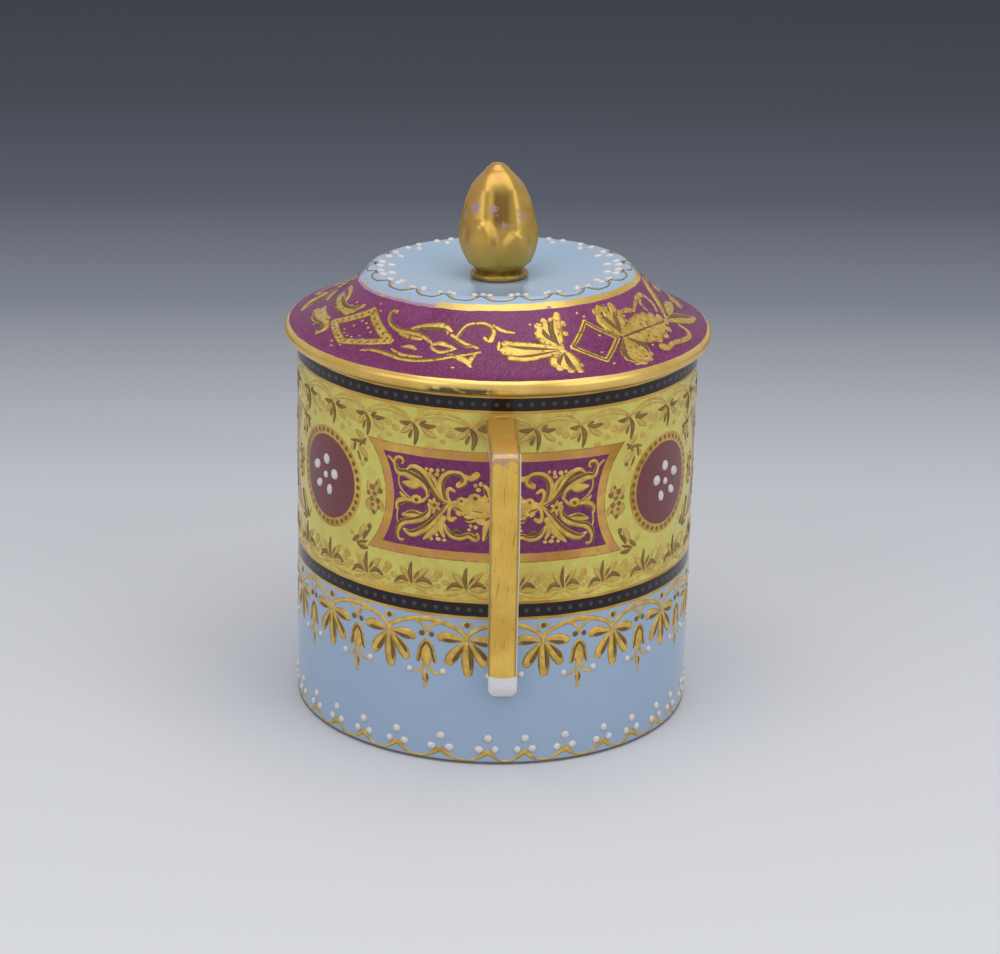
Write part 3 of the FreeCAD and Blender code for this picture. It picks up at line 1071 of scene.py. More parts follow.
@dataclass(frozen=True)
class Stroke:
    """One brush stroke: the places the brush passes, with its breadth at each, and the side its shading lies on."""

    tint: Tint
    path: tuple[Node, ...]
    shade: float = 0.0


@dataclass(frozen=True)
class Drop:
    """A raised drop: its place, its breadth and length, and the turn of its length from upright, in degrees."""

    tint: Tint
    across: float
    down: float
    breadth: float
    length: float = 0.0
    turn: float = 0.0


def strokes(tint: Tint, shade: float, *paths: tuple[Node, ...]) -> list[Stroke]:
    """Strokes in one finish, shaded alike."""
    return [Stroke(tint, path, shade) for path in paths]


def drops(tint: Tint, *places: tuple[float, ...]) -> list[Drop]:
    """Drops in one finish, each given by the numbers that a drop has."""
    return [Drop(tint, *place) for place in places]


@dataclass(frozen=True)
class Drawing:
    """A motif on squared paper, counted in squares across and down.

    Its fields are the squares to a millimetre, the square that lies at the motif's own origin, the parts, how much
    broader than drawn the brush is, how much its ends taper, and 1, or -1 for the motif the other way round.
    """

    squares: float
    origin: Point
    parts: tuple[Stroke | Drop, ...]
    swell: float = 1.0
    taper: float = 1.0
    side: float = 1.0

    def mirrored(self) -> "Drawing":
        """The same motif the other way round."""
        return replace(self, side=-self.side)

    def flat(self, across: float, down: float) -> Point:
        """Millimetres across and up from the motif's origin."""
        return self.side * (across - self.origin[0]) / self.squares, (self.origin[1] - down) / self.squares


@dataclass(frozen=True)
class Painter:
    """Makes drawings as thin domes of gold and enamel on a flat sheet.

    The brown line inside a stroke stops short of the stroke's tip and root by a share of the last step, and is as
    fine there as the second number says.
    """

    relief: float = 0.1
    thickest: float = 0.16
    shade_breadth: float = 0.3
    shade_offset: float = 0.24
    shade_tip: Point = (0.25, 0.08)
    shade_root: Point = (0.2, 0.12)
    steps: int = 4
    drop_thickest: float = 0.75
    drop_flat: float = 0.09
    brown_lift: float = 0.05
    olive_lift: float = 0.06

    def stroke(self, path: Sequence[Node], lift: float) -> bpy.types.Object:
        """Pull one stroke along a smooth curve.

        Args:
            path: Places and breadths in millimetres.
            lift: How far its middle lies off the sheet.

        Returns:
            The stroke.
        """
        path = self.rounded(self.rounded(path)[::-1])[::-1]
        bpy.ops.object.select_all(action="DESELECT")
        bpy.ops.curve.primitive_bezier_curve_add(radius=MM)
        curve = bpy.context.object.data
        curve.dimensions = "3D"
        curve.bevel_depth = 0.5 * MM
        curve.bevel_resolution = 1
        curve.resolution_u = self.steps
        curve.use_fill_caps = True
        line = curve.splines[0]
        line.radius_interpolation = "CARDINAL"
        line.bezier_points.add(len(path) - len(line.bezier_points))
        for point, (across, up, breadth) in zip(line.bezier_points, path):
            point.co = (across * MM, up * MM, 0.0)
            point.radius = breadth
            point.handle_left_type = point.handle_right_type = "AUTO"
        bpy.ops.object.convert(target="MESH")
        piece = bpy.context.object
        broadest = max(breadth for _, _, breadth in path)
        flatten = Matrix.Diagonal((1.0, 1.0, min(self.relief, self.thickest / broadest), 1.0))
        piece.data.transform(Matrix.Translation((0.0, 0.0, lift * MM)) @ flatten)
        return piece

    def rounded(self, path: Sequence[Node]) -> list[Node]:
        """Round off a course's last end where the brush is lifted while it is still broad.

        Args:
            path: The course.

        Returns:
            The course with its end rounded.
        """
        (before_x, before_y, _), (across, up, breadth) = path[-2], path[-1]
        if breadth < 0.3 * max(part[2] for part in path):
            return list(path)
        course = Vector((across - before_x, up - before_y)).normalized() * breadth
        near = (across + 0.3 * course.x, up + 0.3 * course.y, 0.8 * breadth)
        return [*path, near, (across + 0.5 * course.x, up + 0.5 * course.y, 0.1 * breadth)]

    def shading(self, path: Sequence[Node], side: float) -> list[Node]:
        """The course of the brown line inside a stroke.

        Args:
            path: The stroke's course.
            side: 1 for its left side and -1 for its right.

        Returns:
            The line's course.
        """
        line = []
        for number, (across, up, breadth) in enumerate(path):
            before = path[max(number - 1, 0)]
            after = path[min(number + 1, len(path) - 1)]
            course = Vector((after[0] - before[0], after[1] - before[1])).normalized()
            shift = side * self.shade_offset * breadth
            line.append((across - course.y * shift, up + course.x * shift, breadth * self.shade_breadth))
        for end, inner, back, fine in (-1, -2, *self.shade_tip), (0, 1, *self.shade_root):
            (across, up, _), (inner_across, inner_up, _) = line[end], line[inner]
            line[end] = ((1 - back) * across + back * inner_across, (1 - back) * up + back * inner_up, fine)
        return line

    def drop(self, drop: Drop, drawing: Drawing) -> bpy.types.Object:
        """Set one drop.

        Args:
            drop: The drop.
            drawing: The drawing it belongs to.

        Returns:
            The drop.
        """
        bpy.ops.object.select_all(action="DESELECT")
        bpy.ops.mesh.primitive_uv_sphere_add(segments=10, ring_count=6, radius=0.5 * MM)
        piece = bpy.context.object
        breadth = drop.breadth / drawing.squares
        length = (drop.length or drop.breadth) / drawing.squares
        thick = min(0.7 * breadth, self.drop_thickest) if drop.tint is ENAMEL else self.drop_flat
        size = Matrix.Diagonal((breadth, length, thick, 1.0))
        turn = Matrix.Rotation(math.radians(drop.turn) * drawing.side, 4, "Z")
        lift = self.olive_lift if drop.tint in (BROWN, OLIVE) else 0.0
        place = Matrix.Translation(Vector((*drawing.flat(drop.across, drop.down), lift)) * MM)
        piece.data.transform(place @ turn @ size)
        return piece

    def paint(self, drawing: Drawing) -> dict[Tint, list[bpy.types.Object]]:
        """Make every part of a drawing.

        Args:
            drawing: The drawing.

        Returns:
            The parts by their finish.
        """
        made: dict[Tint, list[bpy.types.Object]] = {}
        for part in drawing.parts:
            if isinstance(part, Drop):
                made.setdefault(part.tint, []).append(self.drop(part, drawing))
                continue
            brush = drawing.swell / drawing.squares
            most = max(node[2] for node in part.path)
            path = [(*drawing.flat(across, down), most * (breadth / most) ** drawing.taper * brush)
                    for across, down, breadth in part.path]
            over = {BROWN: self.brown_lift, OLIVE: self.olive_lift}.get(part.tint, 0.0)
            made.setdefault(part.tint, []).append(self.stroke(path, over))
            if part.shade:
                broadest = max(breadth for _, _, breadth in path)
                crest = min(self.relief * broadest, self.thickest) / 2
                line = self.shading(path, part.shade * drawing.side)
                made.setdefault(BROWN, []).append(self.stroke(line, 0.85 * crest))
        return made


@dataclass(frozen=True)
class Row:
    """A motif that goes all round: how many, and the azimuths of those in view, which are spaced by hand."""

    count: int
    seen: tuple[float, ...]

    def stations(self) -> list[float]:
        """Azimuths of one whole turn, the hidden ones spaced evenly, from one before the first to one after it."""
        hidden = self.count - len(self.seen) + 1
        gap = (360.0 - self.seen[-1] + self.seen[0]) / hidden
        turn = [*self.seen, *[self.seen[-1] + gap * number for number in range(1, hidden)]]
        return [turn[-1] - 360.0, *turn, turn[0] + 360.0]


class Ground:
    """A painted surface that flat work is laid on."""

    radius: float = LAYOUT.radius

    def place(self, off: np.ndarray, up: np.ndarray, angle: np.ndarray) -> tuple[np.ndarray, np.ndarray]:
        """Radius and height of points.

        Args:
            off: Millimetres off the surface.
            up: Millimetres up the surface.
            angle: Azimuths in radians.

        Returns:
            Their radii and their heights.
        """
        return self.radius + off, up

    def lay(self, piece: bpy.types.Object, row: Row | None = None) -> None:
        """Wrap a flat piece round this surface.

        Args:
            piece: The piece, in millimetres across and up.
            row: The spacing of its repeats, where it has any.
        """
        across, up, off = vertices(piece).T
        angle = across / self.radius
        if row:
            pitch = 2 * math.pi / row.count
            regular = [pitch * (number - 1) for number in range(row.count + 2)]
            angle = np.interp(angle, regular, np.radians(row.stations()))
        angle = angle + math.radians(CAMERA_TURN)
        radius, height = self.place(off, up, angle)
        laid = np.stack((radius * np.sin(angle), -radius * np.cos(angle), height), axis=1)
        Cover().settle(laid)
        move(piece, laid)


class Wall(Ground):
    """The cup's wall, up from the table."""


class Shoulder(Ground):
    """The cover's sloping shoulder, up from the rim bead."""

    radius = 29.5

    def place(self, off: np.ndarray, up: np.ndarray, angle: np.ndarray) -> tuple[np.ndarray, np.ndarray]:
        """Radius and height on the hollow slope."""
        cover = Cover()
        low, top = cover.shoulder(0.0), cover.shoulder(1.0)
        run, rise = low[0] - top[0], top[1] - low[1]
        length = math.hypot(run, rise)
        share = np.clip(up / length, 0.0, 1.0)
        radius = low[0] - run * share + off * rise / length
        height = low[1] + rise * share - cover.hollow * 4 * share * (1 - share) + off * run / length
        return radius, height


class Top(Ground):
    """The cover's dished top, in from the radius of the gold line, nearer to it at the front and back."""

    radius = 22.0
    edge: float = 23.75
    sway: float = 0.22

    def place(self, off: np.ndarray, up: np.ndarray, angle: np.ndarray) -> tuple[np.ndarray, np.ndarray]:
        """Radius and height on the dish and its rounded crest."""
        cover = Cover()
        radius = self.edge - up * (1.0 - self.sway * np.cos(2.0 * angle))
        brink = bow(cover.crest_centre, cover.crest, cover.crest_end, cover.crest_end, 1)[0]
        slope = (brink[1] - cover.seat_height) / (brink[0] - cover.seat_radius)
        dish = cover.seat_height + (radius - cover.seat_radius) * slope
        reach = np.clip(radius - cover.crest_centre[0], 0.0, cover.crest)
        crest = cover.crest_centre[1] + np.sqrt(cover.crest**2 - reach**2)
        return radius, np.where(radius < brink[0], dish, crest) + off


def lay_out(name: str, motifs: Sequence[tuple[Drawing, Sequence[Matrix]]], ground: Ground,
            row: Row | None = None) -> None:
    """Paint motifs, copy them to their places and lay them on a surface.

    Args:
        name: What the pieces are called.
        motifs: Each drawing with the places of its copies on the flat sheet.
        ground: The surface.
        row: The spacing of the repeats.
    """
    work: dict[Tint, list[bpy.types.Object]] = {}
    for drawing, places in motifs:
        for tint, parts in Painter().paint(drawing).items():
            work.setdefault(tint, []).extend(copies(join(parts), places))
    for tint, parts in work.items():
        piece = join(parts)
        ground.lay(piece, row)
        only(piece)
        bpy.ops.object.shade_smooth()
        finish_piece(piece, f"{name}_{tint.value}", tint.material())


def shifts(*places: tuple[float, float, float]) -> list[Matrix]:
    """Places on the flat sheet.

    Args:
        places: Millimetres across and up, and the stretch across, of each.

    Returns:
        Their matrices.
    """
    return [
        Matrix.Translation((across * MM, up * MM, 0.0)) @ Matrix.Diagonal((stretch, 1.0, 1.0, 1.0))
        for across, up, stretch in places
    ]


def repeats(count: int, shift: float = 0.0, radius: float = LAYOUT.radius) -> list[Matrix]:
    """Places of one whole turn of a motif.

    Args:
        count: How many there are.
        shift: How far they are shifted, in parts of their spacing.
        radius: The radius they are laid at.

    Returns:
        Their matrices.
    """
    pitch = 2 * math.pi * radius / count
    return shifts(*[((number + shift) * pitch, 0.0, 1.0) for number in range(count)])


@dataclass(frozen=True)
class Border:
    """Motifs that go all round in a row, each with its shift in parts of the row's spacing."""

    title: str
    row: Row
    motifs: tuple[tuple[Drawing, float], ...]
    ground: Ground = Wall()
    slot: str = "cup_glaze"

    def build(self) -> None:
        """Paint the border on its ground."""
        work = [(motif, repeats(self.row.count, shift, self.ground.radius)) for motif, shift in self.motifs]
        lay_out(self.title, work, self.ground, self.row)


@dataclass(frozen=True)
class PalmetteBorder(Border):
    """Palmettes under the lower dark band, joined by arches, with bells between them."""

    title: str = "palmette_border"
    row: Row = Row(17, (-52.2, -29.8, -6.8, 14.4, 35.9, 56.8))
    motifs: tuple[tuple[Drawing, float], ...] = ((Drawing(42.0, (868.0, 1176.0), (
        *strokes(GOLD, 1,
            ((834, 216, 16), (776, 210, 60), (724, 206, 72), (694, 212, 44)),
            ((842, 246, 14), (802, 306, 56), (768, 360, 76), (752, 390, 52)),
            ((898, 242, 14), (938, 300, 54), (976, 356, 76), (992, 388, 52)),
            ((868, 236, 14), (872, 310, 58), (878, 404, 78), (880, 464, 50))),
        *strokes(GOLD, -1, ((904, 212, 16), (956, 216, 60), (1006, 222, 74), (1040, 228, 46))),
        *strokes(GOLD, 0,
            ((868, 214, 30), (872, 190, 26), (950, 128, 27), (1040, 96, 30), (1140, 82, 34), (1240, 96, 30),
             (1330, 128, 27), (1404, 190, 26), (1411, 214, 30))),
        *drops(GOLD, (868, 102, 86, 50)),
        *drops(BROWN, (868, 102, 38, 40)),
    ), 1.12, 0.6), 0.0), (Drawing(42.0, (1168.0, 1176.0), (
        *strokes(GOLD, 0,
            ((1062, 102, 14), (1112, 112, 22), (1148, 148, 20), (1162, 200, 12)),
            ((1274, 102, 14), (1224, 112, 22), (1188, 148, 20), (1174, 200, 12)),
            ((1168, 236, 20), (1168, 280, 84), (1168, 350, 112), (1168, 396, 60), (1168, 440, 16)),
            ((1146, 290, 30), (1124, 360, 42), (1108, 416, 18)), ((1190, 290, 30), (1212, 360, 42), (1230, 414, 18)),
            ((1160, 420, 22), (1138, 470, 20), (1104, 496, 16), (1070, 496, 8)),
            ((1176, 420, 22), (1204, 470, 22), (1240, 494, 18), (1284, 492, 8))),
        *drops(BROWN, (1134, 195, 40, 42), (1203, 196, 34, 40)),
        *strokes(BROWN, 0,
            ((1112, 412, 8), (1128, 350, 18), (1146, 290, 19), (1168, 266, 18), (1192, 292, 19), (1208, 350, 18),
             (1226, 408, 8))),
        *drops(ENAMEL, (1052, 482, 46), (1284, 470, 48)),
        *strokes(GOLD, 1, ((1160, 490, 26), (1164, 530, 46), (1166, 572, 18))),
        *drops(BLUSH, (1160, 594, 34)),
    ), 1.05, 0.85), 0.5))


@dataclass(frozen=True)
class FootBorder(Border):
    """Three enamel dots over each point of a gold scallop above the foot."""

    title: str = "foot_border"
    row: Row = Row(32, (-61.0, -49.7, -38.7, -27.3, -14.0, -0.4, 9.8, 21.5, 34.0, 44.5, 56.2, 65.0))
    motifs: tuple[tuple[Drawing, float], ...] = ((Drawing(28.0, (1232.0, 184.0), (
        *drops(ENAMEL, (1234, 46, 40), (1196, 104, 38), (1270, 102, 38)),
        *strokes(GOLD, 0,
            ((1136, 164, 10), (1180, 156, 12), (1210, 134, 22), (1234, 118, 27), (1258, 136, 22), (1288, 157, 12),
             (1328, 164, 10))),
        *strokes(BROWN, 0, ((1136, 171, 5), (1232, 170, 6), (1328, 171, 5))),
    )), 0.0),)


@dataclass(frozen=True)
class UpperSprigs(Border):
    """Leaves that hang from fine arches under the upper dark band."""

    title: str = "upper_sprigs"
    row: Row = Row(24, (-66.5, -51.9, -38.2, -23.0, -6.8, 10.9, 23.8, 39.6, 55.4, 69.4))
    motifs: tuple[tuple[Drawing, float], ...] = ((Drawing(28.0, (730.0, 1784.0), (
        *strokes(OLIVE, 0,
            ((716, 92, 8), (692, 100, 18), (664, 98, 6)), ((762, 94, 6), (775, 85, 12), (790, 78, 4)),
            ((764, 98, 8), (800, 102, 18), (834, 97, 5)), ((728, 95, 6), (746, 135, 20), (738, 196, 6)),
            ((724, 130, 5), (714, 158, 14), (712, 168, 6))),
        *strokes(BLUSH, 0,
            ((772, 108, 10), (800, 134, 26), (834, 152, 8)), ((716, 104, 10), (694, 132, 26), (668, 150, 8)),
            ((744, 84, 5), (790, 64, 7), (858, 54, 7), (926, 64, 7), (974, 84, 5))),
        *strokes(GOLD, 0,
            ((730, 92, 9), (748, 70, 9), (790, 46, 10), (858, 32, 11), (926, 46, 10), (968, 70, 9), (987, 92, 9))),
        *drops(BLUSH, (858, 108, 38), (866, 168, 30, 24), (640, 130, 44, 36), (812, 196, 34, 28)),
    ), 1.15, 0.8), 0.0),)


@dataclass(frozen=True)
class LowerSprigs(Border):
    """Fans of leaves that stand on the lower dark band, joined by festoons."""

    title: str = "lower_sprigs"
    row: Row = Row(24, (-67.5, -52.8, -37.6, -23.0, -7.2, 6.8, 19.7, 32.0, 47.2, 62.4))
    motifs: tuple[tuple[Drawing, float], ...] = ((Drawing(28.0, (934.0, 1064.0), (
        *strokes(OLIVE, 0,
            ((934, 164, 6), (926, 116, 18), (932, 62, 5)), ((914, 158, 6), (878, 146, 18), (846, 174, 6)),
            ((958, 156, 6), (992, 138, 20), (1030, 156, 6)), ((948, 140, 4), (962, 116, 12), (970, 104, 4))),
        *strokes(BLUSH, 0,
            ((924, 160, 10), (898, 118, 30), (874, 92, 8)), ((946, 160, 10), (980, 112, 30), (1012, 82, 8)),
            ((912, 168, 8), (866, 168, 20), (832, 184, 6)), ((956, 168, 8), (1006, 172, 20), (1042, 160, 6))),
        *strokes(GOLD, 0,
            ((934, 174, 8), (968, 190, 10), (1010, 200, 11), (1062, 206, 12), (1114, 200, 11), (1156, 190, 10),
             (1190, 174, 8)), ((960, 182, 6), (1000, 206, 8), (1040, 214, 6)),
            ((908, 182, 6), (868, 206, 8), (828, 214, 6))),
        *drops(BLUSH, (1062, 102, 44), (1062, 164, 30, 26), (1044, 128, 38, 34), (836, 142, 36, 32)),
    ), 1.15, 0.8), 0.0),)


@dataclass(frozen=True)
class Medallions:
    """The roundels: five enamel petals about a dot, with flowers and leaves beside the ring."""

    petals: Drawing = Drawing(42.0, (484.0, 504.0), (
        *drops(ENAMEL,
            (470, 380, 76, 82), (335, 455, 74, 96, -62.0), (570, 470, 80, 80), (461, 500, 52, 56),
            (372, 585, 62, 88, -52.0), (510, 600, 62, 86, -12.0)),
    ))
    leaves: Drawing = Drawing(42.0, (484.0, 504.0), (
        *strokes(BLUSH, 0,
            ((808, 78, 26), (846, 104, 56), (888, 140, 26)), ((838, 190, 26), (880, 222, 60), (908, 258, 26)),
            ((840, 860, 26), (872, 806, 62), (892, 760, 22)), ((790, 874, 20), (828, 902, 52), (890, 912, 26))),
        *strokes(OLIVE, 0,
            ((756, 160, 8), (816, 150, 24), (894, 160, 8)), ((800, 152, 12), (792, 192, 26), (788, 226, 8)),
            ((900, 120, 8), (872, 146, 26), (842, 178, 10)), ((824, 226, 10), (836, 258, 22), (852, 290, 6)),
            ((880, 868, 14), (905, 826, 32), (938, 790, 12)), ((780, 908, 12), (812, 880, 34), (836, 856, 10)),
            ((822, 908, 10), (868, 896, 24), (914, 880, 8)), ((830, 922, 16), (870, 936, 36), (920, 930, 14))),
        *drops(OLIVE, (898, 272, 34), (936, 764, 40, 46)),
        *drops(BLUSH, (770, 210, 44), (868, 310, 40), (760, 850, 42)),
    ), 0.9, 0.8)
    flower: Drawing = Drawing(56.0, (-555.0, 593.0), (
        *strokes(BLUSH, 0,
            ((90, 620, 50), (48, 552, 76), (30, 490, 30)), ((110, 600, 50), (138, 520, 76), (152, 452, 30)),
            ((120, 650, 50), (176, 700, 70), (194, 752, 30)), ((70, 660, 50), (36, 712, 80), (46, 772, 30)),
            ((96, 640, 70), (104, 720, 100), (96, 800, 40))),
        *drops(OLIVE,
            (78, 536, 56), (172, 560, 58), (34, 604, 44), (106, 598, 44), (74, 656, 50), (146, 664, 56), (86, 712, 40),
            (96, 780, 46), (156, 728, 32), (130, 490, 34)),
    ))

    def build(self) -> None:
        """Paint what belongs to each medallion."""
        height = LAYOUT.medallion_height
        left, right, back = (LAYOUT.arc(azimuth) for azimuth in LAYOUT.medallions)
        every = shifts(*[(across, height, 1.0) for across in (left, right, back)])
        motifs = [
            (self.petals, shifts((left, height, 1.0), (back, height, 1.0))),
            (self.petals.mirrored(), shifts((right, height, 1.0))),
            (self.leaves, every),
            (self.leaves.mirrored(), every),
            (self.flower, every),
            (self.flower.mirrored(), every),
        ]
        lay_out("medallion", motifs, Wall())


@dataclass(frozen=True)
class Cartouches:
    """Scrolling foliage on the purple fields, the same on both sides of a leafy middle."""

    centre: float = 0.18
    scrolls: Drawing = Drawing(56.0, (1316.0, 593.0), (
        *strokes(GOLD, 1,
            ((890, 578, 16), (800, 532, 44), (722, 432, 66), (662, 344, 72), (592, 282, 60), (506, 262, 40),
             (458, 300, 12)), ((772, 476, 26), (738, 380, 54), (690, 300, 24)),
            ((502, 590, 20), (420, 606, 58), (368, 640, 50), (356, 690, 16)),
            ((838, 790, 20), (896, 876, 44), (984, 902, 50), (1072, 876, 50), (1146, 900, 60), (1150, 856, 18)),
            ((1250, 740, 70), (1232, 840, 62), (1210, 910, 16)), ((1316, 700, 70), (1316, 820, 76), (1316, 930, 16)),
            ((1316, 500, 70), (1316, 400, 76), (1316, 300, 16)), ((1270, 500, 60), (1240, 430, 62), (1212, 376, 16))),
        *strokes(GOLD, -1,
            ((672, 520, 18), (664, 452, 44), (600, 392, 84), (520, 352, 86), (440, 326, 66), (372, 326, 52),
             (342, 278, 34), (336, 226, 28), (372, 192, 30), (414, 212, 24), (404, 246, 12)),
            ((684, 600, 16), (684, 680, 46), (610, 752, 70), (510, 790, 52), (420, 822, 56), (372, 888, 46),
             (366, 960, 30), (396, 1000, 22), (436, 986, 10)), ((640, 724, 30), (520, 724, 78), (426, 744, 20)),
            ((868, 598, 16), (790, 690, 48), (706, 796, 66), (604, 876, 70), (500, 916, 52), (432, 886, 14)),
            ((836, 566, 26), (802, 444, 62), (812, 346, 62), (870, 284, 50), (934, 268, 34), (1004, 290, 40),
             (1018, 352, 50), (972, 384, 50))),
        *strokes(GOLD, 0,
            ((600, 400, 50), (530, 430, 84), (430, 426, 20)), ((392, 528, 12), (418, 556, 34), (452, 572, 30)),
            ((624, 580, 24), (652, 548, 26), (684, 512, 12)), ((372, 690, 12), (360, 750, 16), (366, 822, 12)),
            ((830, 726, 50), (762, 830, 64), (692, 900, 46), (640, 950, 14)),
            ((826, 736, 40), (806, 830, 50), (836, 902, 18)),
            ((900, 590, 26), (880, 672, 28), (898, 730, 44), (940, 712, 26)),
            ((896, 566, 24), (862, 484, 30), (880, 430, 34), (926, 446, 26)),
            ((1010, 286, 20), (1084, 314, 50), (1136, 276, 58)),
            ((884, 578, 16), (950, 586, 76), (1040, 598, 140), (1160, 608, 196), (1330, 608, 220)),
            ((736, 548, 20), (742, 600, 44), (734, 676, 20)), ((694, 566, 24), (740, 604, 46), (786, 640, 22)),
            ((700, 640, 20), (740, 606, 46), (782, 588, 24))),
        *strokes(BLUSH, 0,
            ((376, 368, 12), (382, 450, 18), (430, 518, 18), (494, 562, 12)),
            ((262, 196, 16), (296, 220, 22), (330, 262, 8)), ((560, 706, 20), (500, 712, 40), (446, 730, 14))),
        *drops(GOLD,
            (562, 576, 124, 104), (1000, 540, 104, 84), (1122, 508, 130, 104), (1250, 510, 130, 100),
            (992, 650, 104, 84), (1082, 704, 130, 96), (1196, 724, 130, 90), (1300, 708, 110, 84), (658, 258, 34),
            (706, 266, 50, 46), (768, 262, 38, 48), (760, 302, 50, 40), (820, 250, 32), (714, 938, 40),
            (782, 936, 56, 40), (842, 940, 44, 34), (768, 896, 34), (1128, 380, 42), (1176, 364, 42, 52),
            (1154, 420, 50, 44), (1088, 778, 36), (1136, 790, 44), (1076, 818, 40, 34)),
        *strokes(BROWN, 0,
            ((510, 606, 10), (562, 624, 22), (618, 604, 10)), ((916, 858, 20), (964, 832, 40), (1000, 852, 16)),
            ((1104, 628, 8), (1180, 638, 16), (1290, 644, 14)), ((998, 676, 8), (1048, 720, 18), (1118, 706, 8)),
            ((926, 606, 6), (964, 618, 14), (1004, 640, 6)), ((1250, 520, 8), (1266, 580, 16), (1296, 640, 8)),
            ((1230, 720, 8), (1256, 690, 16), (1296, 664, 8))),
        *drops(BROWN, (562, 574, 40), (998, 540, 28), (1127, 504, 44), (740, 604, 40)),
    ), 1.2, 0.7)

    def build(self) -> None:
        """Paint the three fields, the hidden ones stretched to their greater breadth."""
        left, right, back = LAYOUT.medallions
        middle = (left + right) / 2
        half = LAYOUT.arc(right - middle) - LAYOUT.field_gap
        beside = (back + right) / 2
        stretch = (LAYOUT.arc(back - right) / 2 - LAYOUT.field_gap) / half
        height = LAYOUT.medallion_height
        far = LAYOUT.arc((back - 360.0 + left) / 2)
        places = shifts((self.centre, height, 1.0), (LAYOUT.arc(beside), height, stretch), (far, height, stretch))
        motifs = [(self.scrolls, places), (self.scrolls.mirrored(), places)]
        lay_out("cartouche", motifs, Wall())


def beaded(corners: Sequence[Point], breadth: float, beads: int, tint: Tint) -> list[Stroke | Drop]:
    """A lozenge of straight bands with brown beads along them.

    Args:
        corners: Its corners on the squared paper.
        breadth: The band's breadth.
        beads: Beads along each side, or none.
        tint: The band's finish.

    Returns:
        Its parts.
    """
    parts: list[Stroke | Drop] = []
    for start, end in zip(corners, [*corners[1:], corners[0]]):
        middle = ((start[0] + end[0]) / 2, (start[1] + end[1]) / 2)
        parts.append(Stroke(tint, ((*start, breadth), (*middle, breadth), (*end, breadth))))
        for bead in range(beads):
            share = (bead + 0.5) / beads
            across = start[0] + (end[0] - start[0]) * share
            parts.append(Drop(BROWN, across, start[1] + (end[1] - start[1]) * share, 0.42 * breadth))
        if not beads:
            parts.append(Stroke(BROWN, ((*start, 4.0), (*middle, 5.0), (*end, 4.0))))
    return parts


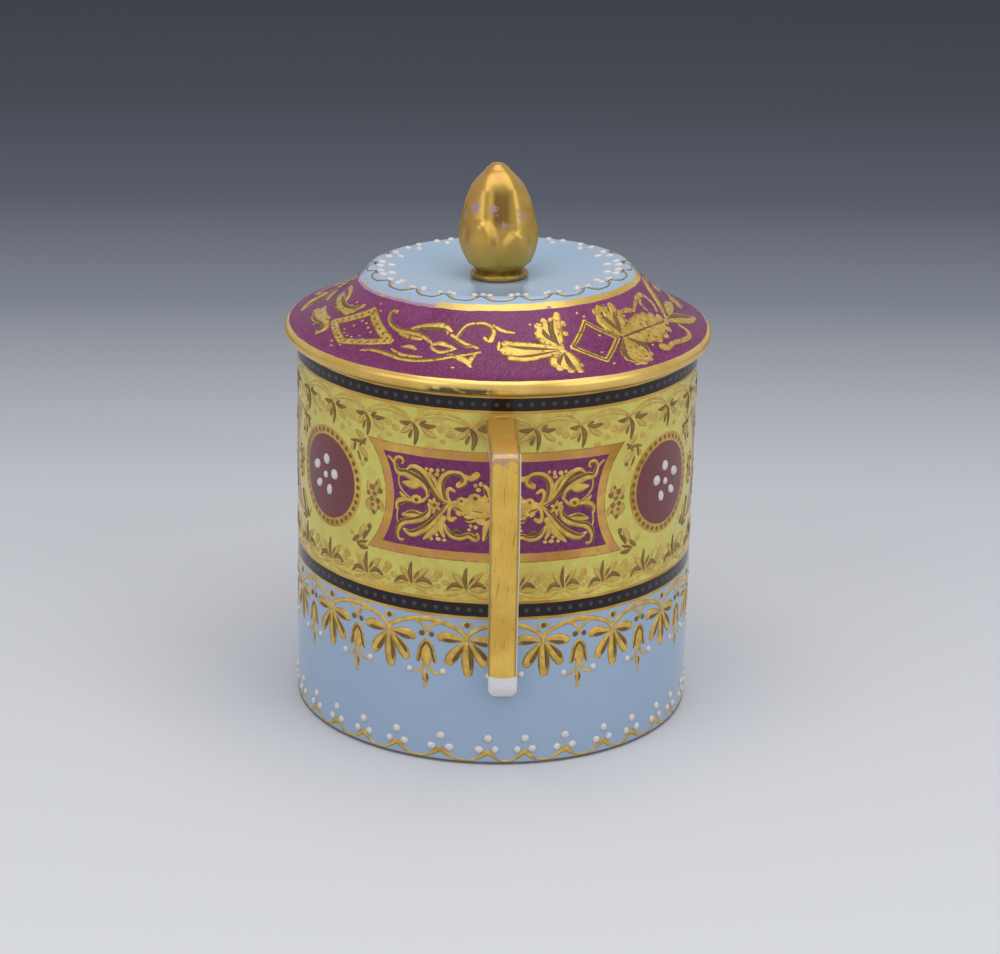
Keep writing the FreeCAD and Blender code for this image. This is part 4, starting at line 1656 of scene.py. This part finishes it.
@dataclass(frozen=True)
class ShoulderScrolls:
    """Worn gilt foliage and lozenges on the cover's purple shoulder."""

    drawing: Drawing = Drawing(20.4, (890.0, 371.0), (
        *beaded(((190, 232), (338, 138), (508, 232), (336, 298)), 29.0, 6, LEAF),
        *beaded(((1140, 236), (1228, 144), (1322, 230), (1234, 306)), 17.0, 0, LEAF),
        *[Drop(LEAF, across, down, 13, 10) for across, down in (
            (352, 104), (378, 128), (305, 318), (325, 338), (350, 318), (328, 182), (356, 186), (308, 210),
            (382, 200), (408, 214), (286, 240), (304, 254), (330, 262), (352, 262), (378, 244), (402, 254),
            (1213, 108), (1236, 124), (1252, 326), (1420, 155), (1440, 180), (1420, 270), (1440, 292), (1010, 132),
            (1232, 272), (1258, 206), (1190, 178), (1412, 174), (1400, 290), (758, 318), (130, 300), (110, 292),
            (190, 316), (206, 306), (184, 150), (200, 132))],
        *strokes(LEAF, 0,
            ((0, 118, 14), (66, 122, 18), (106, 160, 20), (90, 186, 12)),
            ((150, 176, 14), (210, 176, 24), (244, 150, 8)), ((0, 232, 20), (70, 246, 34), (140, 236, 10)),
            ((60, 288, 16), (110, 284, 22), (150, 276, 8)), ((520, 186, 8), (556, 200, 14), (620, 204, 8)),
            ((690, 140, 6), (702, 152, 14), (708, 170, 5)), ((844, 182, 12), (856, 194, 12), (872, 190, 8)),
            ((668, 222, 8), (700, 214, 18), (750, 232, 6)), ((668, 232, 8), (700, 252, 14), (750, 232, 6)),
            ((570, 248, 6), (596, 242, 16), (618, 250, 8)), ((538, 268, 6), (580, 286, 14), (650, 282, 6)),
            ((736, 260, 10), (774, 272, 22), (800, 290, 18), (810, 308, 6)),
            ((820, 250, 8), (806, 280, 16), (806, 304, 6)), ((894, 198, 4), (893, 216, 12), (892, 230, 5)),
            ((874, 132, 8), (904, 152, 12), (948, 162, 5)),
            ((922, 234, 40), (980, 240, 46), (1050, 242, 24), (1104, 242, 6)),
            ((1070, 130, 16), (1072, 166, 44), (1092, 206, 30), (1106, 234, 6)),
            ((1108, 330, 10), (1094, 300, 40), (1098, 270, 28), (1108, 246, 6)),
            ((1342, 118, 20), (1346, 150, 50), (1346, 200, 34), (1345, 226, 6)),
            ((1362, 344, 14), (1356, 304, 46), (1350, 268, 28), (1345, 238, 6)),
            ((1344, 230, 6), (1400, 208, 30), (1462, 194, 48), (1530, 198, 44), (1600, 232, 8)),
            ((1346, 232, 6), (1404, 246, 30), (1466, 256, 52), (1532, 252, 42), (1600, 236, 8)),
            ((1344, 231, 8), (1420, 226, 50), (1520, 226, 70), (1580, 234, 40), (1616, 236, 8)),
            ((1490, 316, 18), (1470, 308, 16), (1476, 326, 14), (1530, 318, 20), (1590, 330, 22), (1640, 334, 20),
             (1676, 312, 14), (1668, 280, 8)),
            ((1500, 146, 8), (1540, 126, 12), (1600, 112, 16), (1640, 122, 18), (1652, 158, 14), (1622, 190, 8)),
            ((1570, 170, 8), (1566, 140, 12), (1590, 124, 10)), ((1690, 224, 20), (1750, 216, 44), (1820, 220, 10)),
            ((1426, 138, 10), (1470, 142, 20), (1490, 150, 8))),
        *strokes(LEAF, 1,
            ((0, 160, 34), (80, 168, 40), (150, 172, 30), (220, 158, 22), (264, 130, 8)),
            ((460, 116, 10), (438, 122, 12), (444, 144, 10), (478, 168, 14), (520, 180, 18), (566, 182, 18),
             (618, 188, 16), (664, 216, 6)),
            ((442, 310, 6), (480, 292, 16), (540, 296, 20), (600, 306, 18), (670, 296, 14), (760, 262, 12),
             (834, 242, 5)), ((932, 266, 16), (980, 268, 26), (1050, 256, 16), (1104, 244, 5)),
            ((1046, 146, 20), (1044, 176, 44), (1076, 212, 30), (1104, 234, 8)),
            ((1130, 340, 10), (1124, 306, 44), (1116, 270, 30), (1108, 246, 6)),
            ((1304, 122, 26), (1310, 156, 50), (1332, 198, 34), (1343, 224, 6)),
            ((1334, 348, 16), (1322, 306, 46), (1332, 268, 30), (1344, 238, 6)),
            ((1616, 236, 8), (1690, 256, 40), (1780, 300, 48), (1850, 330, 10))),
        *strokes(LEAF, -1,
            ((0, 262, 30), (90, 270, 42), (160, 262, 34), (200, 284, 24), (208, 322, 8)),
            ((566, 166, 6), (620, 152, 20), (690, 148, 26), (720, 160, 6)),
            ((744, 190, 10), (752, 168, 14), (772, 138, 12), (810, 128, 12), (850, 132, 14), (872, 156, 20),
             (866, 190, 18)), ((726, 176, 8), (770, 206, 20), (822, 224, 8)),
            ((916, 206, 24), (960, 214, 30), (1030, 224, 26), (1104, 240, 6)),
            ((1120, 116, 26), (1102, 150, 54), (1100, 196, 36), (1106, 234, 6)),
            ((1076, 312, 16), (1068, 290, 36), (1086, 264, 24), (1108, 246, 6)),
            ((1388, 122, 30), (1384, 162, 54), (1362, 202, 30), (1346, 228, 6)),
            ((1392, 326, 16), (1390, 292, 44), (1368, 260, 28), (1346, 236, 6)),
            ((1630, 232, 8), (1690, 190, 30), (1780, 118, 40), (1840, 96, 10))),
        *strokes(BROWN, 0, ((1350, 231, 4), (1450, 226, 7), (1590, 234, 4))),
        *drops(LEAF,
            (1440, 190, 32), (1480, 178, 36), (1524, 180, 36), (1566, 194, 34), (1598, 212, 30), (1608, 240, 28),
            (1580, 264, 34), (1536, 276, 36), (1490, 280, 36), (1444, 268, 30), (1296, 116, 28), (1322, 106, 30),
            (1350, 108, 30), (1388, 110, 34), (1406, 138, 28), (1402, 172, 24), (1292, 150, 26), (1302, 182, 22),
            (1326, 348, 28), (1350, 354, 28), (1378, 344, 30), (1400, 322, 28), (1404, 296, 24), (1308, 318, 24),
            (1036, 140, 26), (1064, 124, 26), (1094, 122, 22), (1124, 108, 30), (1138, 140, 26), (1134, 178, 22),
            (1030, 170, 22), (1134, 340, 24), (1106, 336, 24), (1076, 320, 24), (1142, 312, 22), (1060, 296, 22)),
    ), 1.25, 0.7)
    turns: tuple[float, ...] = (0.0, 178.0)

    def build(self) -> None:
        """Paint the shoulder, with the same ornament again round the hidden half."""
        arc = Shoulder.radius * MM
        places = [Matrix.Translation((math.radians(turn) * arc, 0.0, 0.0)) for turn in self.turns]
        lay_out("shoulder_scrolls", [(self.drawing, places)], Shoulder())


@dataclass(frozen=True)
class TopBorder(Border):
    """Threes of enamel drops round the cover's blue top, with fine brown lines."""

    title: str = "top_border"
    row: Row = Row(20, (-115.0, -95.0, -78.0, -58.7, -39.5, -23.8, -7.4, 8.8, 24.0, 41.0, 58.7, 78.0, 95.0, 115.0))
    motifs: tuple[tuple[Drawing, float], ...] = ((Drawing(20.0, (618.0, 1040.0), (
        *drops(ENAMEL, (590, 988, 27, 31, -8.0), (618, 958, 27, 32), (647, 988, 27, 31, 8.0)),
        *strokes(OLIVE, 0,
            ((594, 996, 3), (606, 1008, 4), (618, 1002, 4), (630, 1008, 4), (643, 996, 3)),
            ((618, 1000, 2), (640, 1020, 3), (687, 1027, 2.4), (734, 1020, 3), (756, 1000, 2))),
        *strokes(GOLD, 0,
            ((634, 1008, 3), (650, 1018, 6), (668, 1024, 3)), ((602, 1008, 3), (588, 1018, 6), (570, 1024, 3))),
    )), 0.0),)
    ground: Ground = Top()
    slot: str = "lid_glaze"


@dataclass
class Studio:
    """The paper sweep, the lamps and the camera."""

    focal: float = 100.21
    distance: float = 467.96
    height: float = 203.35
    pitch: float = 0.3359
    yaw: float = 0.0019
    roll: float = 0.0218
    aim: float = 0.04
    air: Colour = (0.62, 0.64, 0.68)
    air_strength: float = 0.77
    lamps: tuple[tuple[str, Point, float, float, float], ...] = (
        ("overhead", (0.06, -0.14), 1.0, 0.95, 5.1),
        ("left_box", (-0.6, -0.5), 0.45, 0.6, 1.7),
        ("right_box", (0.6, -0.5), 0.45, 0.6, 1.7),
    )

    def sweep(self) -> None:
        """Lay the pale paper that the cup stands on."""
        bpy.ops.object.select_all(action="DESELECT")
        bpy.ops.mesh.primitive_plane_add(size=6.0, location=(0, 0, 0))
        paper = bpy.context.object
        paper.name = "studio_paper"
        paper.data.materials.append(StudioSweep().dress())

    def lamp(self, name: str, place: Point, height: float, size: float, power: float) -> None:
        """Hang a square soft lamp that looks at the cup.

        Args:
            name: Its name.
            place: Metres across and along.
            height: Metres above the table.
            size: Metres along a side.
            power: Watts.
        """
        light = bpy.data.lights.new(name, "AREA")
        light.size = size
        light.energy = power
        lamp = bpy.data.objects.new(name, light)
        lamp.location = (*place, height)
        aim = Vector((0, 0, self.aim)) - lamp.location
        lamp.rotation_euler = aim.to_track_quat("-Z", "Y").to_euler()
        bpy.context.collection.objects.link(lamp)

    def light(self) -> None:
        """Light the room evenly and hang the lamps."""
        world = bpy.data.worlds.new("room")
        bpy.context.scene.world = world
        world.use_nodes = True
        background = world.node_tree.nodes["Background"]
        background.inputs[0].default_value = (*self.air, 1.0)
        background.inputs[1].default_value = self.air_strength
        for lamp in self.lamps:
            self.lamp(*lamp)

    def camera(self) -> None:
        """Set up the photograph's camera."""
        turn = math.radians(CAMERA_TURN)
        yaw = self.yaw - turn
        data = bpy.data.cameras.new("camera")
        data.sensor_width = 36.0
        data.lens = self.focal
        camera = bpy.data.objects.new("camera", data)
        camera.location = Vector((self.distance * math.sin(turn), -self.distance * math.cos(turn), self.height)) * MM
        level = math.cos(self.pitch)
        ahead = Vector((math.sin(yaw) * level, math.cos(yaw) * level, -math.sin(self.pitch)))
        side = Vector((math.cos(yaw), -math.sin(yaw), 0.0))
        above = side.cross(ahead)
        tilted = side * math.cos(self.roll) + above * math.sin(self.roll)
        upright = above * math.cos(self.roll) - side * math.sin(self.roll)
        camera.rotation_euler = Matrix((tilted, upright, -ahead)).transposed().to_euler()
        bpy.context.collection.objects.link(camera)
        bpy.context.scene.camera = camera

    def build(self) -> None:
        """Set up the studio."""
        self.sweep()
        self.light()
        self.camera()
        bpy.context.scene.view_settings.view_transform = "Standard"


def main() -> None:
    """Dress the frame and build what is laid on it, then the studio."""
    logging.basicConfig(level=logging.INFO, format="%(message)s")
    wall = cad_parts["cup"]
    wall.data.materials.clear()
    wall.data.materials.append(PaintedWall().dress())
    assemblies = (
        Cover(), Bud(), PalmetteBorder(), FootBorder(), UpperSprigs(), LowerSprigs(), Medallions(), Cartouches(),
        ShoulderScrolls(), TopBorder(), Studio(),
    )
    for assembly in assemblies:
        assembly.build()


if __name__ == "__main__":
    main()
